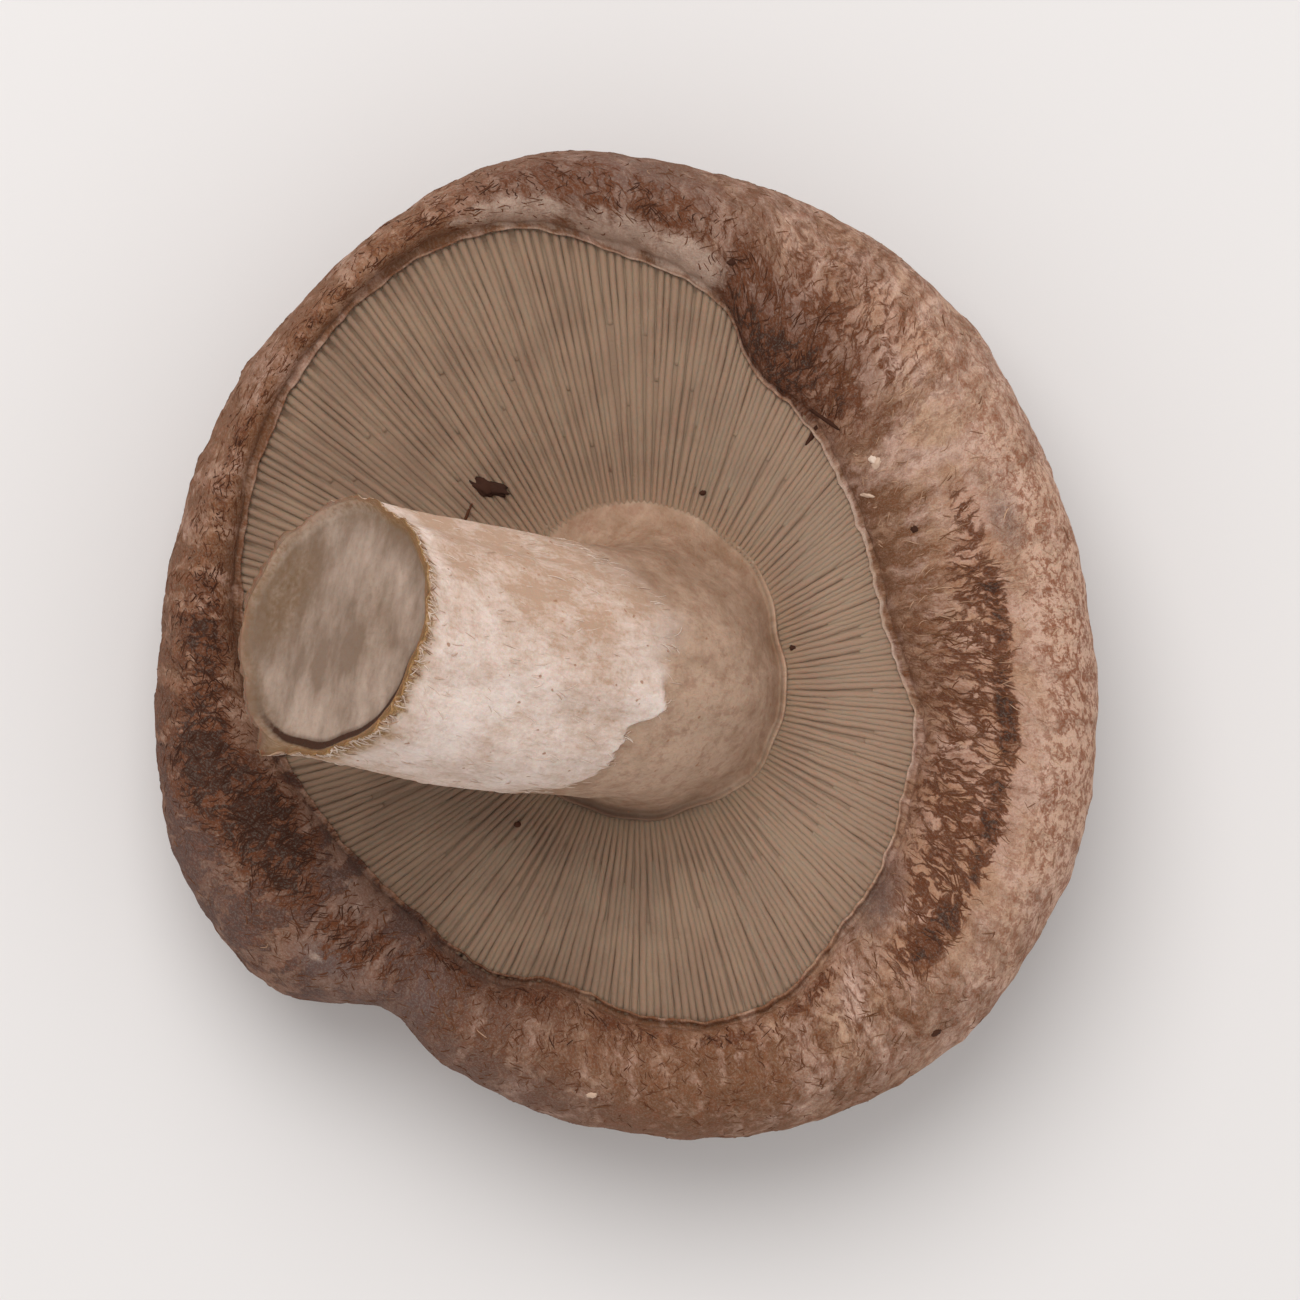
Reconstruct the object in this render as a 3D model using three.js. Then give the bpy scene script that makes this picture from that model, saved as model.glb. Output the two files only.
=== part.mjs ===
// A shiitake mushroom lying cap down, so that its gills face up and its stem leans out of them.
// Cap, gills and stem grew as one piece, so they are one closed mesh: rings of vertices that run
// from the crown out over the cap, in over the gills and up the stem, each zipped to the next.
//
// Millimetres, +Z up. The origin is the middle of the flat spot on the crown that carries the
// weight, straight under the middle of the gills. Azimuths are degrees about +Z, from +X to +Y.

import * as THREE from "three";

// ---- Cap ------------------------------------------------------------------------------------
// The girth is the widest line of the cap, the crest the top of its rolled-in margin, and the
// lip the edge of that margin, where the gills start.

const REST_RADIUS = 8;
const CROWN_POWER = 2.1; // cross-section of the crown: 2 is an ellipse, more is squarer
const GIRTH_HEIGHT = 13.2;
const CREST_HEIGHT = 21;
const HIGH_SIDE = 5; // azimuth where the margin stands highest
const GIRTH_TILT = 1.2;
const CREST_TILT = 1.8;
const LIP_DROP = 0.4;
const LIP_SLOPE = 0.28; // further drop of the lip for each millimetre of margin width
const LIP_OVERHANG = 0.6;
const LIP_THICKNESS = 0.8;

// [azimuth, radius] of the girth and of the lip.
const GIRTH_RADII = [
  [0, 31.9], [25, 31.8], [45, 32.8], [62, 33.5], [80, 34.1], [103, 35.3],
  [135, 33.4], [175, 32.2], [207, 34.2], [222, 33.3], [229, 31.2], [235, 29.3],
  [244, 30.3], [256, 31.4], [268, 32.5], [284, 33.8], [298, 34.5], [314, 34.5], [337, 33.4],
];
const LIP_RADII = [
  [0, 17.9], [12, 17.2], [27, 17.7], [40, 18.6], [56, 20.3], [66, 21.2], [71, 22.6],
  [76, 25.0], [84, 26.6], [94, 28.3], [104, 30.6], [118, 31.4], [140, 30.2], [180, 26.4],
  [205, 23.9], [228, 22.8], [245, 23.3], [257, 22.5], [271, 24.2], [285, 25.2],
  [296, 24.7], [306, 23.2], [320, 22.0], [334, 20.5], [348, 19.6],
];

// Waves round the margin, and one fold that crosses it.
const CRINKLES = [
  { waves: 3, height: 0.35, phase: 120 },
  { waves: 5, height: 0.25, phase: 300 },
  { waves: 9, height: 0.16, phase: 40 },
  { waves: 14, height: 0.13, phase: 210 },
  { waves: 23, height: 0.1, phase: 95 },
];
const FOLD = { azimuth: 283, halfWidth: 5, depth: 0.8 };

// ---- Gills ----------------------------------------------------------------------------------

// Shares run along a gill, from 0 at the stem to 1 under the lip.

const GILL_COUNT = 168;
const GILL_DEPTH = 2;
const GILL_END_DEPTH = 0.35;
const FULL_DEPTH = { from: 0.3, to: 0.85 };
const SHORT_GILL_FADE = { from: 0.35, to: 0.6 }; // where every second gill fades out
const GILL_BELLY = 0.8; // rise of the gill edges midway between stem and lip
const GILL_WANDER = 0.22; // sideways scatter, as a share of the space between two gills
const GILL_SEED = 7;
const GILL_RING_SHARES = [1, 0.93, 0.76, 0.56, 0.36, 0.17, 0];

// ---- Stem -----------------------------------------------------------------------------------

const STEM_BASE = new THREE.Vector3(0.3, -0.8, 17.2);
const STEM_END = new THREE.Vector3(-22, 3.1, 41);
const STEM_RADIUS = 8.7;
const STEM_FLARE = 0.7; // how much wider the stem is where it leaves the cap
const FLARE_END = 0.3; // share of the stem's length that the flare takes
const COLLAR_STEP = 0.4; // width and height of the low collar round the stem's foot
const RISE = 8.5; // stretch over which the stem starts out upright
const CUT_REACH = 10; // stretch over which the stem turns square to its cut
const CUT_TILT = 51; // degrees between the cut's normal and +Z
const CUT_AZIMUTH = 160;
const CUT_EDGE = 0.6; // width and depth of the raised edge round the cut
const FLAKE = { angle: 231, halfWidth: 15, length: 0.8 }; // torn point on the edge of the cut
const FLUTES = [
  { waves: 5, height: 0.12, phase: 60 },
  { waves: 8, height: 0.09, phase: 200 },
  { waves: 13, height: 0.06, phase: 310 },
];

// ---- Mesh density ---------------------------------------------------------------------------

const CROWN_RINGS = 9;
const CROWN_EDGE = 2.3; // target length of an edge along a ring of the crown
const MARGIN_COLUMNS = 128;
const OUTER_MARGIN_RINGS = 6;
const INNER_MARGIN_RINGS = 5;
const STEM_COLUMNS = 48;
const STEM_RINGS = 13;

const COLOURS = {
  crown: "#5f4231",
  flank: "#7b5843",
  girth: "#8e6a54",
  crest: "#a98770",
  lip: "#8a6a54",
  gillEdge: "#a58b75",
  gillFloor: "#6d5746",
  collar: "#b0947e",
  foot: "#b99f8a",
  stem: "#dccab9",
  cutEdge: "#a57c55",
  cut: "#9a887b",
};

// ---- Shape functions ------------------------------------------------------------------------

const radians = THREE.MathUtils.degToRad;
const { clamp, lerp, smoothstep } = THREE.MathUtils;

// Smooth closed curve through [azimuth, value] stations: the value at any azimuth.
function around(stations, azimuth) {
  const count = stations.length;
  const at = (i) => {
    const turn = Math.floor(i / count);
    const [angle, value] = stations[i - turn * count];
    return { angle: angle + 360 * turn, value };
  };
  const slope = (i) => (at(i + 1).value - at(i - 1).value) / (at(i + 1).angle - at(i - 1).angle);
  const angle = THREE.MathUtils.euclideanModulo(azimuth - stations[0][0], 360) + stations[0][0];
  let i = 0;
  while (at(i + 1).angle <= angle) i += 1;
  const step = at(i + 1).angle - at(i).angle;
  const t = (angle - at(i).angle) / step;
  const u = 1 - t;
  return (
    u * u * (1 + 2 * t) * at(i).value +
    t * t * (3 - 2 * t) * at(i + 1).value +
    u * u * t * step * slope(i) -
    t * t * u * step * slope(i + 1)
  );
}

// 1 at the middle of a bump, falling smoothly to 0 at its half width, in degrees.
function bump(angle, middle, halfWidth) {
  const away = Math.abs(THREE.MathUtils.euclideanModulo(angle - middle + 180, 360) - 180);
  return 1 - smoothstep(away, 0, halfWidth);
}

function waves(list, angle) {
  return list.reduce((sum, w) => sum + w.height * Math.sin(radians(w.waves * angle + w.phase)), 0);
}

// Sizes of the cap's cross-section at an azimuth.
function section(azimuth) {
  const tilt = Math.cos(radians(azimuth - HIGH_SIDE));
  const girth = around(GIRTH_RADII, azimuth);
  const lip = around(LIP_RADII, azimuth);
  const crestHeight = CREST_HEIGHT + CREST_TILT * tilt;
  return {
    girth,
    lip,
    crest: (girth + lip) / 2,
    girthHeight: GIRTH_HEIGHT + GIRTH_TILT * tilt,
    crestHeight,
    lipHeight: crestHeight - LIP_DROP - LIP_SLOPE * (girth - lip),
    relief: waves(CRINKLES, azimuth) - FOLD.depth * bump(azimuth, FOLD.azimuth, FOLD.halfWidth),
  };
}

function polar(azimuth, radius, height) {
  return new THREE.Vector3(
    radius * Math.cos(radians(azimuth)),
    radius * Math.sin(radians(azimuth)),
    height,
  );
}

// From the flat spot, share 0, to the girth, share 1.
function crownPoint(azimuth, share) {
  const { girth, girthHeight } = section(azimuth);
  const out = Math.sin((share * Math.PI) / 2) ** (2 / CROWN_POWER);
  const up = 1 - Math.cos((share * Math.PI) / 2) ** (2 / CROWN_POWER);
  return polar(azimuth, REST_RADIUS + (girth - REST_RADIUS) * out, girthHeight * up);
}

// From the girth, share 0, to the crest, share 1.
function outerMarginPoint(azimuth, share) {
  const { girth, crest, girthHeight, crestHeight, relief } = section(azimuth);
  const turn = (share * Math.PI) / 2;
  return polar(
    azimuth,
    crest + (girth - crest + relief * share) * Math.cos(turn),
    girthHeight + (crestHeight - girthHeight + relief) * Math.sin(turn),
  );
}

// From the crest, share 0, to the lip, share 1.
function innerMarginPoint(azimuth, share) {
  const { lip, crest, crestHeight, lipHeight, relief } = section(azimuth);
  const turn = (share * Math.PI) / 2;
  return polar(
    azimuth,
    crest - (crest - lip) * Math.sin(turn),
    lipHeight + (crestHeight - lipHeight + relief) * Math.cos(turn),
  );
}

// Along a gill, from the collar, share 0, to under the lip, share 1, and down from its edge.
function gillPoint(azimuth, share, depth) {
  const { lip, lipHeight } = section(azimuth);
  const outer = polar(azimuth, lip + LIP_OVERHANG, lipHeight - LIP_THICKNESS);
  const foot = STEM_RADIUS + STEM_FLARE + 2 * COLLAR_STEP;
  const inner = polar(azimuth, foot, STEM_BASE.z - COLLAR_STEP);
  inner.x += STEM_BASE.x;
  inner.y += STEM_BASE.y;
  const point = inner.lerp(outer, share);
  point.z += GILL_BELLY * 4 * share * (1 - share) - depth;
  return point;
}

// How deep the space between two gills is.
function gillDepth(share) {
  const inside = smoothstep(share, 0, FULL_DEPTH.from) * (1 - smoothstep(share, FULL_DEPTH.to, 1));
  return lerp(GILL_END_DEPTH, GILL_DEPTH, inside);
}

function stemAxis() {
  const tilt = radians(CUT_TILT);
  const cutNormal = polar(CUT_AZIMUTH, Math.sin(tilt), Math.cos(tilt));
  return new THREE.CubicBezierCurve3(
    STEM_BASE,
    STEM_BASE.clone().add(new THREE.Vector3(0, 0, RISE)),
    STEM_END.clone().addScaledVector(cutNormal, -CUT_REACH),
    STEM_END,
  );
}

// A point beside the stem's axis: angle 0 faces +X as nearly as the axis lets it.
function stemPoint(axis, share, angle, radius, lift) {
  const along = axis.getTangent(share);
  const across = new THREE.Vector3(1, 0, 0).projectOnPlane(along).normalize();
  const beside = along.clone().cross(across);
  return axis
    .getPoint(share)
    .addScaledVector(across, radius * Math.cos(radians(angle)))
    .addScaledVector(beside, radius * Math.sin(radians(angle)))
    .addScaledVector(along, lift);
}

function stemRadius(share, angle) {
  const flare = STEM_FLARE * clamp(1 - share / FLARE_END, 0, 1) ** 2;
  return STEM_RADIUS + flare + waves(FLUTES, angle) * smoothstep(share, 0, FLARE_END);
}

// ---- Rings and the skin between them --------------------------------------------------------

// A seeded random number generator (mulberry32), so that every run gives the same gills.
function seededRandom(seed) {
  let state = seed;
  return () => {
    state = (state + 0x6d2b79f5) | 0;
    let mixed = Math.imul(state ^ (state >>> 15), 1 | state);
    mixed = (mixed + Math.imul(mixed ^ (mixed >>> 7), 61 | mixed)) ^ mixed;
    return ((mixed ^ (mixed >>> 14)) >>> 0) / 4294967296;
  };
}

const evenAngles = (count) => Array.from({ length: count }, (_, i) => (360 * i) / count);

// Holds the vertices, and closes the surface between one ring and the next as rings are added.
class Skin {
  positions = [];
  colours = [];
  triangles = [];
  last = null;

  // angles rise through one turn; a ring of one angle is a pole.
  addRing(angles, pointAt, colourAt) {
    const ring = { angles, first: this.positions.length / 3 };
    angles.forEach((angle, i) => {
      this.positions.push(...pointAt(angle, i).toArray());
      this.colours.push(...new THREE.Color(colourAt(i)).toArray());
    });
    if (this.last) this.zip(this.last, ring);
    this.last = ring;
  }

  // Goes round two rings together, always stepping on the one whose next vertex comes first.
  zip(before, after) {
    const steps = (ring) => (ring.angles.length === 1 ? 0 : ring.angles.length);
    const vertex = (ring, i) => ring.first + (i % ring.angles.length);
    const angle = (ring, i) => {
      const count = ring.angles.length;
      return i < count ? ring.angles[i] : ring.angles[i - count] + 360;
    };
    let i = 0;
    let j = 0;
    while (i < steps(before) || j < steps(after)) {
      const stepBefore =
        j >= steps(after) || (i < steps(before) && angle(before, i + 1) <= angle(after, j + 1));
      const third = stepBefore ? vertex(before, i + 1) : vertex(after, j + 1);
      this.triangles.push(vertex(before, i), third, vertex(after, j));
      if (stepBefore) i += 1;
      else j += 1;
    }
  }

  geometry() {
    const geometry = new THREE.BufferGeometry();
    geometry.setAttribute("position", new THREE.Float32BufferAttribute(this.positions, 3));
    geometry.setAttribute("color", new THREE.Float32BufferAttribute(this.colours, 3));
    geometry.setIndex(this.triangles);
    geometry.computeVertexNormals();
    return geometry;
  }
}

const blend = (from, to, share) => new THREE.Color(from).lerp(new THREE.Color(to), share);

function addCrown(skin) {
  skin.addRing([0], () => new THREE.Vector3(0, 0, 0), () => COLOURS.crown);
  for (let k = 0; k < CROWN_RINGS; k += 1) {
    const share = k / CROWN_RINGS;
    const radius = crownPoint(0, share).setZ(0).length();
    const angles = evenAngles(Math.round((2 * Math.PI * radius) / CROWN_EDGE));
    const colour = blend(COLOURS.crown, COLOURS.flank, share);
    skin.addRing(angles, (azimuth) => crownPoint(azimuth, share), () => colour);
  }
}

function addMargin(skin) {
  const angles = evenAngles(MARGIN_COLUMNS);
  for (let k = 0; k < OUTER_MARGIN_RINGS; k += 1) {
    const share = k / OUTER_MARGIN_RINGS;
    const colour = blend(COLOURS.girth, COLOURS.crest, share);
    skin.addRing(angles, (azimuth) => outerMarginPoint(azimuth, share), () => colour);
  }
  for (let k = 0; k <= INNER_MARGIN_RINGS; k += 1) {
    const share = k / INNER_MARGIN_RINGS;
    const colour = blend(COLOURS.crest, COLOURS.lip, share);
    skin.addRing(angles, (azimuth) => innerMarginPoint(azimuth, share), () => colour);
  }
}

// Two columns to a gill: its edge, then the floor of the space beside it.
function addGills(skin) {
  const random = seededRandom(GILL_SEED);
  const angles = evenAngles(2 * GILL_COUNT).map(
    (angle) => angle + (GILL_WANDER * (random() - 0.5) * 360) / GILL_COUNT,
  );
  for (const share of GILL_RING_SHARES) {
    const shortGill = smoothstep(share, SHORT_GILL_FADE.from, SHORT_GILL_FADE.to);
    const height = (column) => {
      if (column % 2 === 1) return 0;
      return column % 4 === 0 ? 1 : shortGill;
    };
    skin.addRing(
      angles,
      (azimuth, column) => gillPoint(azimuth, share, gillDepth(share) * (1 - height(column))),
      (column) => blend(COLOURS.gillFloor, COLOURS.gillEdge, height(column)),
    );
  }
}

function addStem(skin) {
  const axis = stemAxis();
  const angles = evenAngles(STEM_COLUMNS);
  skin.addRing(
    angles,
    (angle) => stemPoint(axis, 0, angle, stemRadius(0, angle) + COLLAR_STEP, 0),
    () => COLOURS.collar,
  );
  for (let k = 0; k < STEM_RINGS; k += 1) {
    const share = k / (STEM_RINGS - 1);
    const flake = (angle) =>
      k === STEM_RINGS - 1 ? FLAKE.length * bump(angle, FLAKE.angle, FLAKE.halfWidth) : 0;
    const colour = blend(COLOURS.foot, COLOURS.stem, smoothstep(share, 0, FLARE_END));
    skin.addRing(
      angles,
      (angle) => stemPoint(axis, share, angle, stemRadius(share, angle) + flake(angle), flake(angle)),
      () => colour,
    );
  }
  skin.addRing(
    angles,
    (angle) => stemPoint(axis, 1, angle, stemRadius(1, angle) - CUT_EDGE, -CUT_EDGE),
    () => COLOURS.cutEdge,
  );
  skin.addRing([0], (angle) => stemPoint(axis, 1, angle, 0, -CUT_EDGE), () => COLOURS.cut);
}

function buildMushroom() {
  const skin = new Skin();
  addCrown(skin);
  addMargin(skin);
  addGills(skin);
  addStem(skin);
  const material = new THREE.MeshStandardMaterial({
    color: "#ffffff", // the colours are in the vertices
    vertexColors: true,
    roughness: 0.85,
    metalness: 0,
  });
  const mesh = new THREE.Mesh(skin.geometry(), material);
  mesh.name = "mushroom";
  return mesh;
}

const part = new THREE.Group();
part.add(buildMushroom());

export default part;
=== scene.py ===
"""A shiitake mushroom lying cap down: rolled-in fibrous cap, dense gills, and a stem cut off aslant."""
import json
import math
import random

import bmesh
import bpy
import numpy as np
from mathutils import Matrix, Vector, noise


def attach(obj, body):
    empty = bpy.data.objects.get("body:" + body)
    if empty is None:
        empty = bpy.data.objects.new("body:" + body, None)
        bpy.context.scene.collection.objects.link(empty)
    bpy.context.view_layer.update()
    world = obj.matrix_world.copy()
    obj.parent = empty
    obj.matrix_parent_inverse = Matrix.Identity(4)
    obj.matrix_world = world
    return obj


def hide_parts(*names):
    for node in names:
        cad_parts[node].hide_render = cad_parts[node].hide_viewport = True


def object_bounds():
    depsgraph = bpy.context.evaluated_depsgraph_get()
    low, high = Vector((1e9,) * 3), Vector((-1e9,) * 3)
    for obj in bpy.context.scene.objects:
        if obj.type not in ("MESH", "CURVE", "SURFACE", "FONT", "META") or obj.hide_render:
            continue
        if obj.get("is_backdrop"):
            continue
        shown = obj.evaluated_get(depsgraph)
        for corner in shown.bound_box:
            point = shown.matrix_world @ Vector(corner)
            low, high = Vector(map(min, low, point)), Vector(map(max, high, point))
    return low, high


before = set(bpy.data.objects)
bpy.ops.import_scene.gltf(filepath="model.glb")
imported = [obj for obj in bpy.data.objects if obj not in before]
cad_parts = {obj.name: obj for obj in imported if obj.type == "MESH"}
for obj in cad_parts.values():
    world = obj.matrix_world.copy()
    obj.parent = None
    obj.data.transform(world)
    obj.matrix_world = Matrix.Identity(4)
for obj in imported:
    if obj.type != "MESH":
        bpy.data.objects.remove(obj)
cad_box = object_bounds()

MM = 0.001  # every length below is in millimetres, azimuths are degrees about +Z from +X to +Y

# ---- Cap: the same sizes as the CAD solid ------------------------------------------------------
# The girth is the widest line of the cap, the crest the top of its rolled-in margin, and the
# lip the edge of that margin, where the gills start.

REST_RADIUS = 8
CROWN_POWER = 2.1
GIRTH_HEIGHT, GIRTH_TILT = 13.2, 1.2
CREST_HEIGHT, CREST_TILT = 21, 1.8
HIGH_SIDE = 5
LIP_DROP, LIP_SLOPE = 0.4, 0.28
GIRTH_RADII = [
    (0, 31.9), (25, 31.8), (45, 32.8), (62, 33.5), (80, 34.1), (103, 35.3),
    (135, 33.4), (175, 32.2), (207, 34.2), (222, 33.3), (229, 31.2), (235, 29.3),
    (244, 30.3), (256, 31.4), (268, 32.5), (284, 33.8), (298, 34.5), (314, 34.5), (337, 33.4),
]
LIP_RADII = [
    (0, 17.9), (12, 17.2), (27, 17.7), (40, 18.6), (56, 20.3), (66, 21.2), (71, 22.6),
    (76, 25.0), (84, 26.6), (94, 28.3), (104, 30.6), (118, 31.4), (140, 30.2), (180, 26.4),
    (205, 23.9), (228, 22.8), (245, 23.3), (257, 22.5), (271, 24.2), (285, 25.2),
    (296, 24.7), (306, 23.2), (320, 22.0), (334, 20.5), (348, 19.6),
]
CRINKLES = [(3, 0.35, 120), (5, 0.25, 300), (9, 0.16, 40), (14, 0.13, 210), (23, 0.1, 95)]
FOLD_AZIMUTH, FOLD_HALF_WIDTH, FOLD_DEPTH = 283, 5, 0.8

# ---- Stem: the same sizes as the CAD solid -----------------------------------------------------

STEM_BASE = np.array([0.3, -0.8, 17.2])
STEM_END = np.array([-22, 3.1, 41])
STEM_ROOT = STEM_BASE - [0, 0, 4]  # in the flesh, where cap and stem are closed
STEM_RADIUS = 8.7
STEM_FLARE, FLARE_END = 0.7, 0.3
COLLAR_STEP = 0.4
RISE, CUT_REACH = 8.5, 10
CUT_TILT, CUT_AZIMUTH = 51, 160
CUT_EDGE = 0.6
FLAKE_ANGLE, FLAKE_HALF_WIDTH, FLAKE_LENGTH = 231, 15, 0.8
FLUTES = [(5, 0.12, 60), (8, 0.09, 200), (13, 0.06, 310)]

# ---- Finer shape, only here --------------------------------------------------------------------

GUTTER_WIDTH = 0.55  # a narrow gutter runs along the outer side of the lip
GILL_BELLY = 0.8
GILL_DEPTH = 0.17
GILL_REACH, GILL_DROP = 0.25, 0.4  # how far out and down from the lip's edge a gill ends


# ---- Curves and noise --------------------------------------------------------------------------


def smoothstep(value, low, high):
    t = np.clip((value - low) / (high - low), 0, 1)
    return t * t * (3 - 2 * t)


def around(stations, azimuth):
    """Smooth closed curve through (azimuth, value) stations, read at an array of azimuths."""
    angles, values = (np.array(column, float) for column in zip(*stations))
    angles = np.concatenate([angles - 360, angles, angles + 360])
    values = np.tile(values, 3)
    slopes = np.zeros_like(values)
    slopes[1:-1] = (values[2:] - values[:-2]) / (angles[2:] - angles[:-2])
    azimuth = np.mod(azimuth, 360)
    i = np.searchsorted(angles, azimuth, side="right") - 1
    step = angles[i + 1] - angles[i]
    t = (azimuth - angles[i]) / step
    u = 1 - t
    ends = u * u * (1 + 2 * t) * values[i] + t * t * (3 - 2 * t) * values[i + 1]
    return ends + t * u * step * (u * slopes[i] - t * slopes[i + 1])


def polar(azimuth, radius, height):
    angle = np.radians(azimuth)
    return np.stack([radius * np.cos(angle), radius * np.sin(angle), height + 0 * angle], -1)


def waves(terms, angle):
    return sum(height * np.sin(np.radians(count * angle + phase)) for count, height, phase in terms)


def arch(share):
    """0 at both ends and 1 in the middle, for numbers, arrays and sockets."""
    return 4 * share * (1 - share)


def turn_from(angle, middle):
    return np.mod(angle - middle + 180, 360) - 180


def bump(angle, middle, half_width):
    """1 at the middle, falling smoothly to 0 at the half width."""
    return 1 - smoothstep(np.abs(turn_from(angle, middle)), 0, half_width)


def patches(terms, azimuth, place):
    """How strongly soft blotches cover each point: azimuth, place, half sizes and strength of each."""
    total = 0 * (azimuth + place)
    for middle, at, half_turn, half_place, strength in terms:
        away = (turn_from(azimuth, middle) / half_turn) ** 2 + ((place - at) / half_place) ** 2
        total = np.maximum(total, strength * np.exp(-0.7 * away**1.5))
    return total


def rough(points, size, seed=0):
    """Smooth noise of about -1 to 1 at each point, with bumps of the given size."""
    places = (points / size + seed * 13.7).reshape(-1, 3).tolist()
    return np.array([noise.noise(place) for place in places]).reshape(points.shape[:-1])


def layered(points, layers):
    """Sum of rough noise in layers of height, bump size and seed."""
    return sum(height * rough(points, np.array(size), seed) for height, size, seed in layers)


# ---- Shape of the cap and stem -----------------------------------------------------------------


class Section:
    """Sizes of the cap's cross-section at an array of azimuths."""

    def __init__(self, azimuth):
        tilt = np.cos(np.radians(azimuth - HIGH_SIDE))
        self.azimuth = azimuth
        self.girth = around(GIRTH_RADII, azimuth)
        self.lip = around(LIP_RADII, azimuth)
        self.crest = (self.girth + self.lip) / 2
        self.girth_height = GIRTH_HEIGHT + GIRTH_TILT * tilt
        self.crest_height = CREST_HEIGHT + CREST_TILT * tilt
        self.lip_height = self.crest_height - LIP_DROP - LIP_SLOPE * (self.girth - self.lip)
        fold = FOLD_DEPTH * bump(azimuth, FOLD_AZIMUTH, FOLD_HALF_WIDTH)
        self.relief = waves(CRINKLES, azimuth) - fold

    def polar(self, radius, height):
        return polar(self.azimuth, radius, height)

    def crown(self, share):
        """From the flat spot, share 0, to the girth, share 1."""
        turn = share * math.pi / 2
        out = math.sin(turn) ** (2 / CROWN_POWER)
        up = 1 - math.cos(turn) ** (2 / CROWN_POWER)
        return self.polar(REST_RADIUS + (self.girth - REST_RADIUS) * out, self.girth_height * up)

    def outer_margin(self, share):
        """From the girth, share 0, to the crest, share 1."""
        turn = share * math.pi / 2
        reach = self.girth - self.crest + self.relief * share
        rise = self.crest_height - self.girth_height + self.relief
        return self.polar(self.crest + reach * math.cos(turn), self.girth_height + rise * math.sin(turn))

    def inner_margin(self, share):
        """From the crest, share 0, to the gutter along the lip, share 1."""
        turn = share * math.pi / 2
        drop = self.crest_height - self.lip_height + self.relief
        radius = self.crest - (self.crest - self.lip - GUTTER_WIDTH) * math.sin(turn)
        return self.polar(radius, self.lip_height + drop * math.cos(turn))

    def gill_ends(self):
        """Where the edge of a gill starts at the collar and ends under the lip."""
        inner = self.polar(STEM_RADIUS + STEM_FLARE + COLLAR_STEP, STEM_BASE[2] - COLLAR_STEP)
        inner[..., :2] += STEM_BASE[:2]
        return inner, self.polar(self.lip + GILL_REACH, self.lip_height - GILL_DROP)


CUT_NORMAL = np.array([
    math.sin(math.radians(CUT_TILT)) * math.cos(math.radians(CUT_AZIMUTH)),
    math.sin(math.radians(CUT_TILT)) * math.sin(math.radians(CUT_AZIMUTH)),
    math.cos(math.radians(CUT_TILT)),
])
STEM_HANDLES = [STEM_BASE, STEM_BASE + [0, 0, RISE], STEM_END - CUT_REACH * CUT_NORMAL, STEM_END]


def stem_frame(share):
    """Point on the stem's axis, the axis's direction, and the two directions square to it."""
    a, b, c, d = STEM_HANDLES
    u = 1 - share
    point = u**3 * a + 3 * u * u * share * b + 3 * u * share * share * c + share**3 * d
    along = u * u * (b - a) + 2 * u * share * (c - b) + share * share * (d - c)
    along = along / np.linalg.norm(along)
    across = np.array([1.0, 0, 0]) - along * along[0]
    across = across / np.linalg.norm(across)
    return point, along, across, np.cross(along, across)


def stem_ring(share, angle, radius, lift=0):
    point, along, across, beside = stem_frame(share)
    turn = np.radians(angle)[:, None]
    radius = (radius + 0 * angle)[:, None]
    lift = (lift + 0 * angle)[:, None]
    return point + radius * (across * np.cos(turn) + beside * np.sin(turn)) + lift * along


def stem_radius(share, angle):
    flare = STEM_FLARE * max(0, 1 - share / FLARE_END) ** 2
    return STEM_RADIUS + flare + waves(FLUTES, angle) * smoothstep(share, 0, FLARE_END)


# ---- Meshes ------------------------------------------------------------------------------------


def put_field(mesh, name, values):
    kind, key = ("FLOAT", "value") if values.ndim == 1 else ("FLOAT_VECTOR", "vector")
    mesh.attributes.new(name, kind, "POINT").data.foreach_set(key, values.ravel())


def even_angles(count):
    return np.arange(count) * 360 / count


class RingSurface:
    """A closed surface: rings of points, each joined to the next. A ring of one point is a pole.

    Every point has a flow and the named fields, which are 0 where a ring doesn't give them.
    """

    def __init__(self, *names):
        self.points, self.flow, self.faces, self.slots, self.count = [], [], [], [], 0
        self.fields = {name: [] for name in names}
        self.last = None

    def add(self, angles, points, flow, slot=0, **fields):
        ring = (self.count, list(angles))
        self.points.append(np.asarray(points))
        self.flow.append(flow)
        for name, parts in self.fields.items():
            parts.append(np.zeros(len(ring[1])) + fields.get(name, 0))
        self.count += len(ring[1])
        if self.last:
            self.zip(self.last, ring, slot)
        self.last = ring

    def zip(self, before, after, slot):
        """Goes round both rings, always stepping on the one whose next point comes first."""
        (first_a, angles_a), (first_b, angles_b) = before, after
        steps_a = len(angles_a) if len(angles_a) > 1 else 0
        steps_b = len(angles_b) if len(angles_b) > 1 else 0
        next_a = angles_a[1:] + [angles_a[0] + 360]
        next_b = angles_b[1:] + [angles_b[0] + 360]
        i = j = 0
        while i < steps_a or j < steps_b:
            here_a, here_b = first_a + i % len(angles_a), first_b + j % len(angles_b)
            if j >= steps_b or (i < steps_a and next_a[i] <= next_b[j]):
                i += 1
                self.faces.append((here_a, first_a + i % len(angles_a), here_b))
            else:
                j += 1
                self.faces.append((here_a, first_b + j % len(angles_b), here_b))
            self.slots.append(slot)

    def mesh(self, name):
        mesh = bpy.data.meshes.new(name)
        mesh.from_pydata((np.concatenate(self.points) * MM).tolist(), [], self.faces)
        mesh.polygons.foreach_set("material_index", self.slots)
        mesh.shade_smooth()
        for field, parts in [("flow", self.flow), *self.fields.items()]:
            put_field(mesh, field, np.concatenate(parts))
        return mesh


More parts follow.
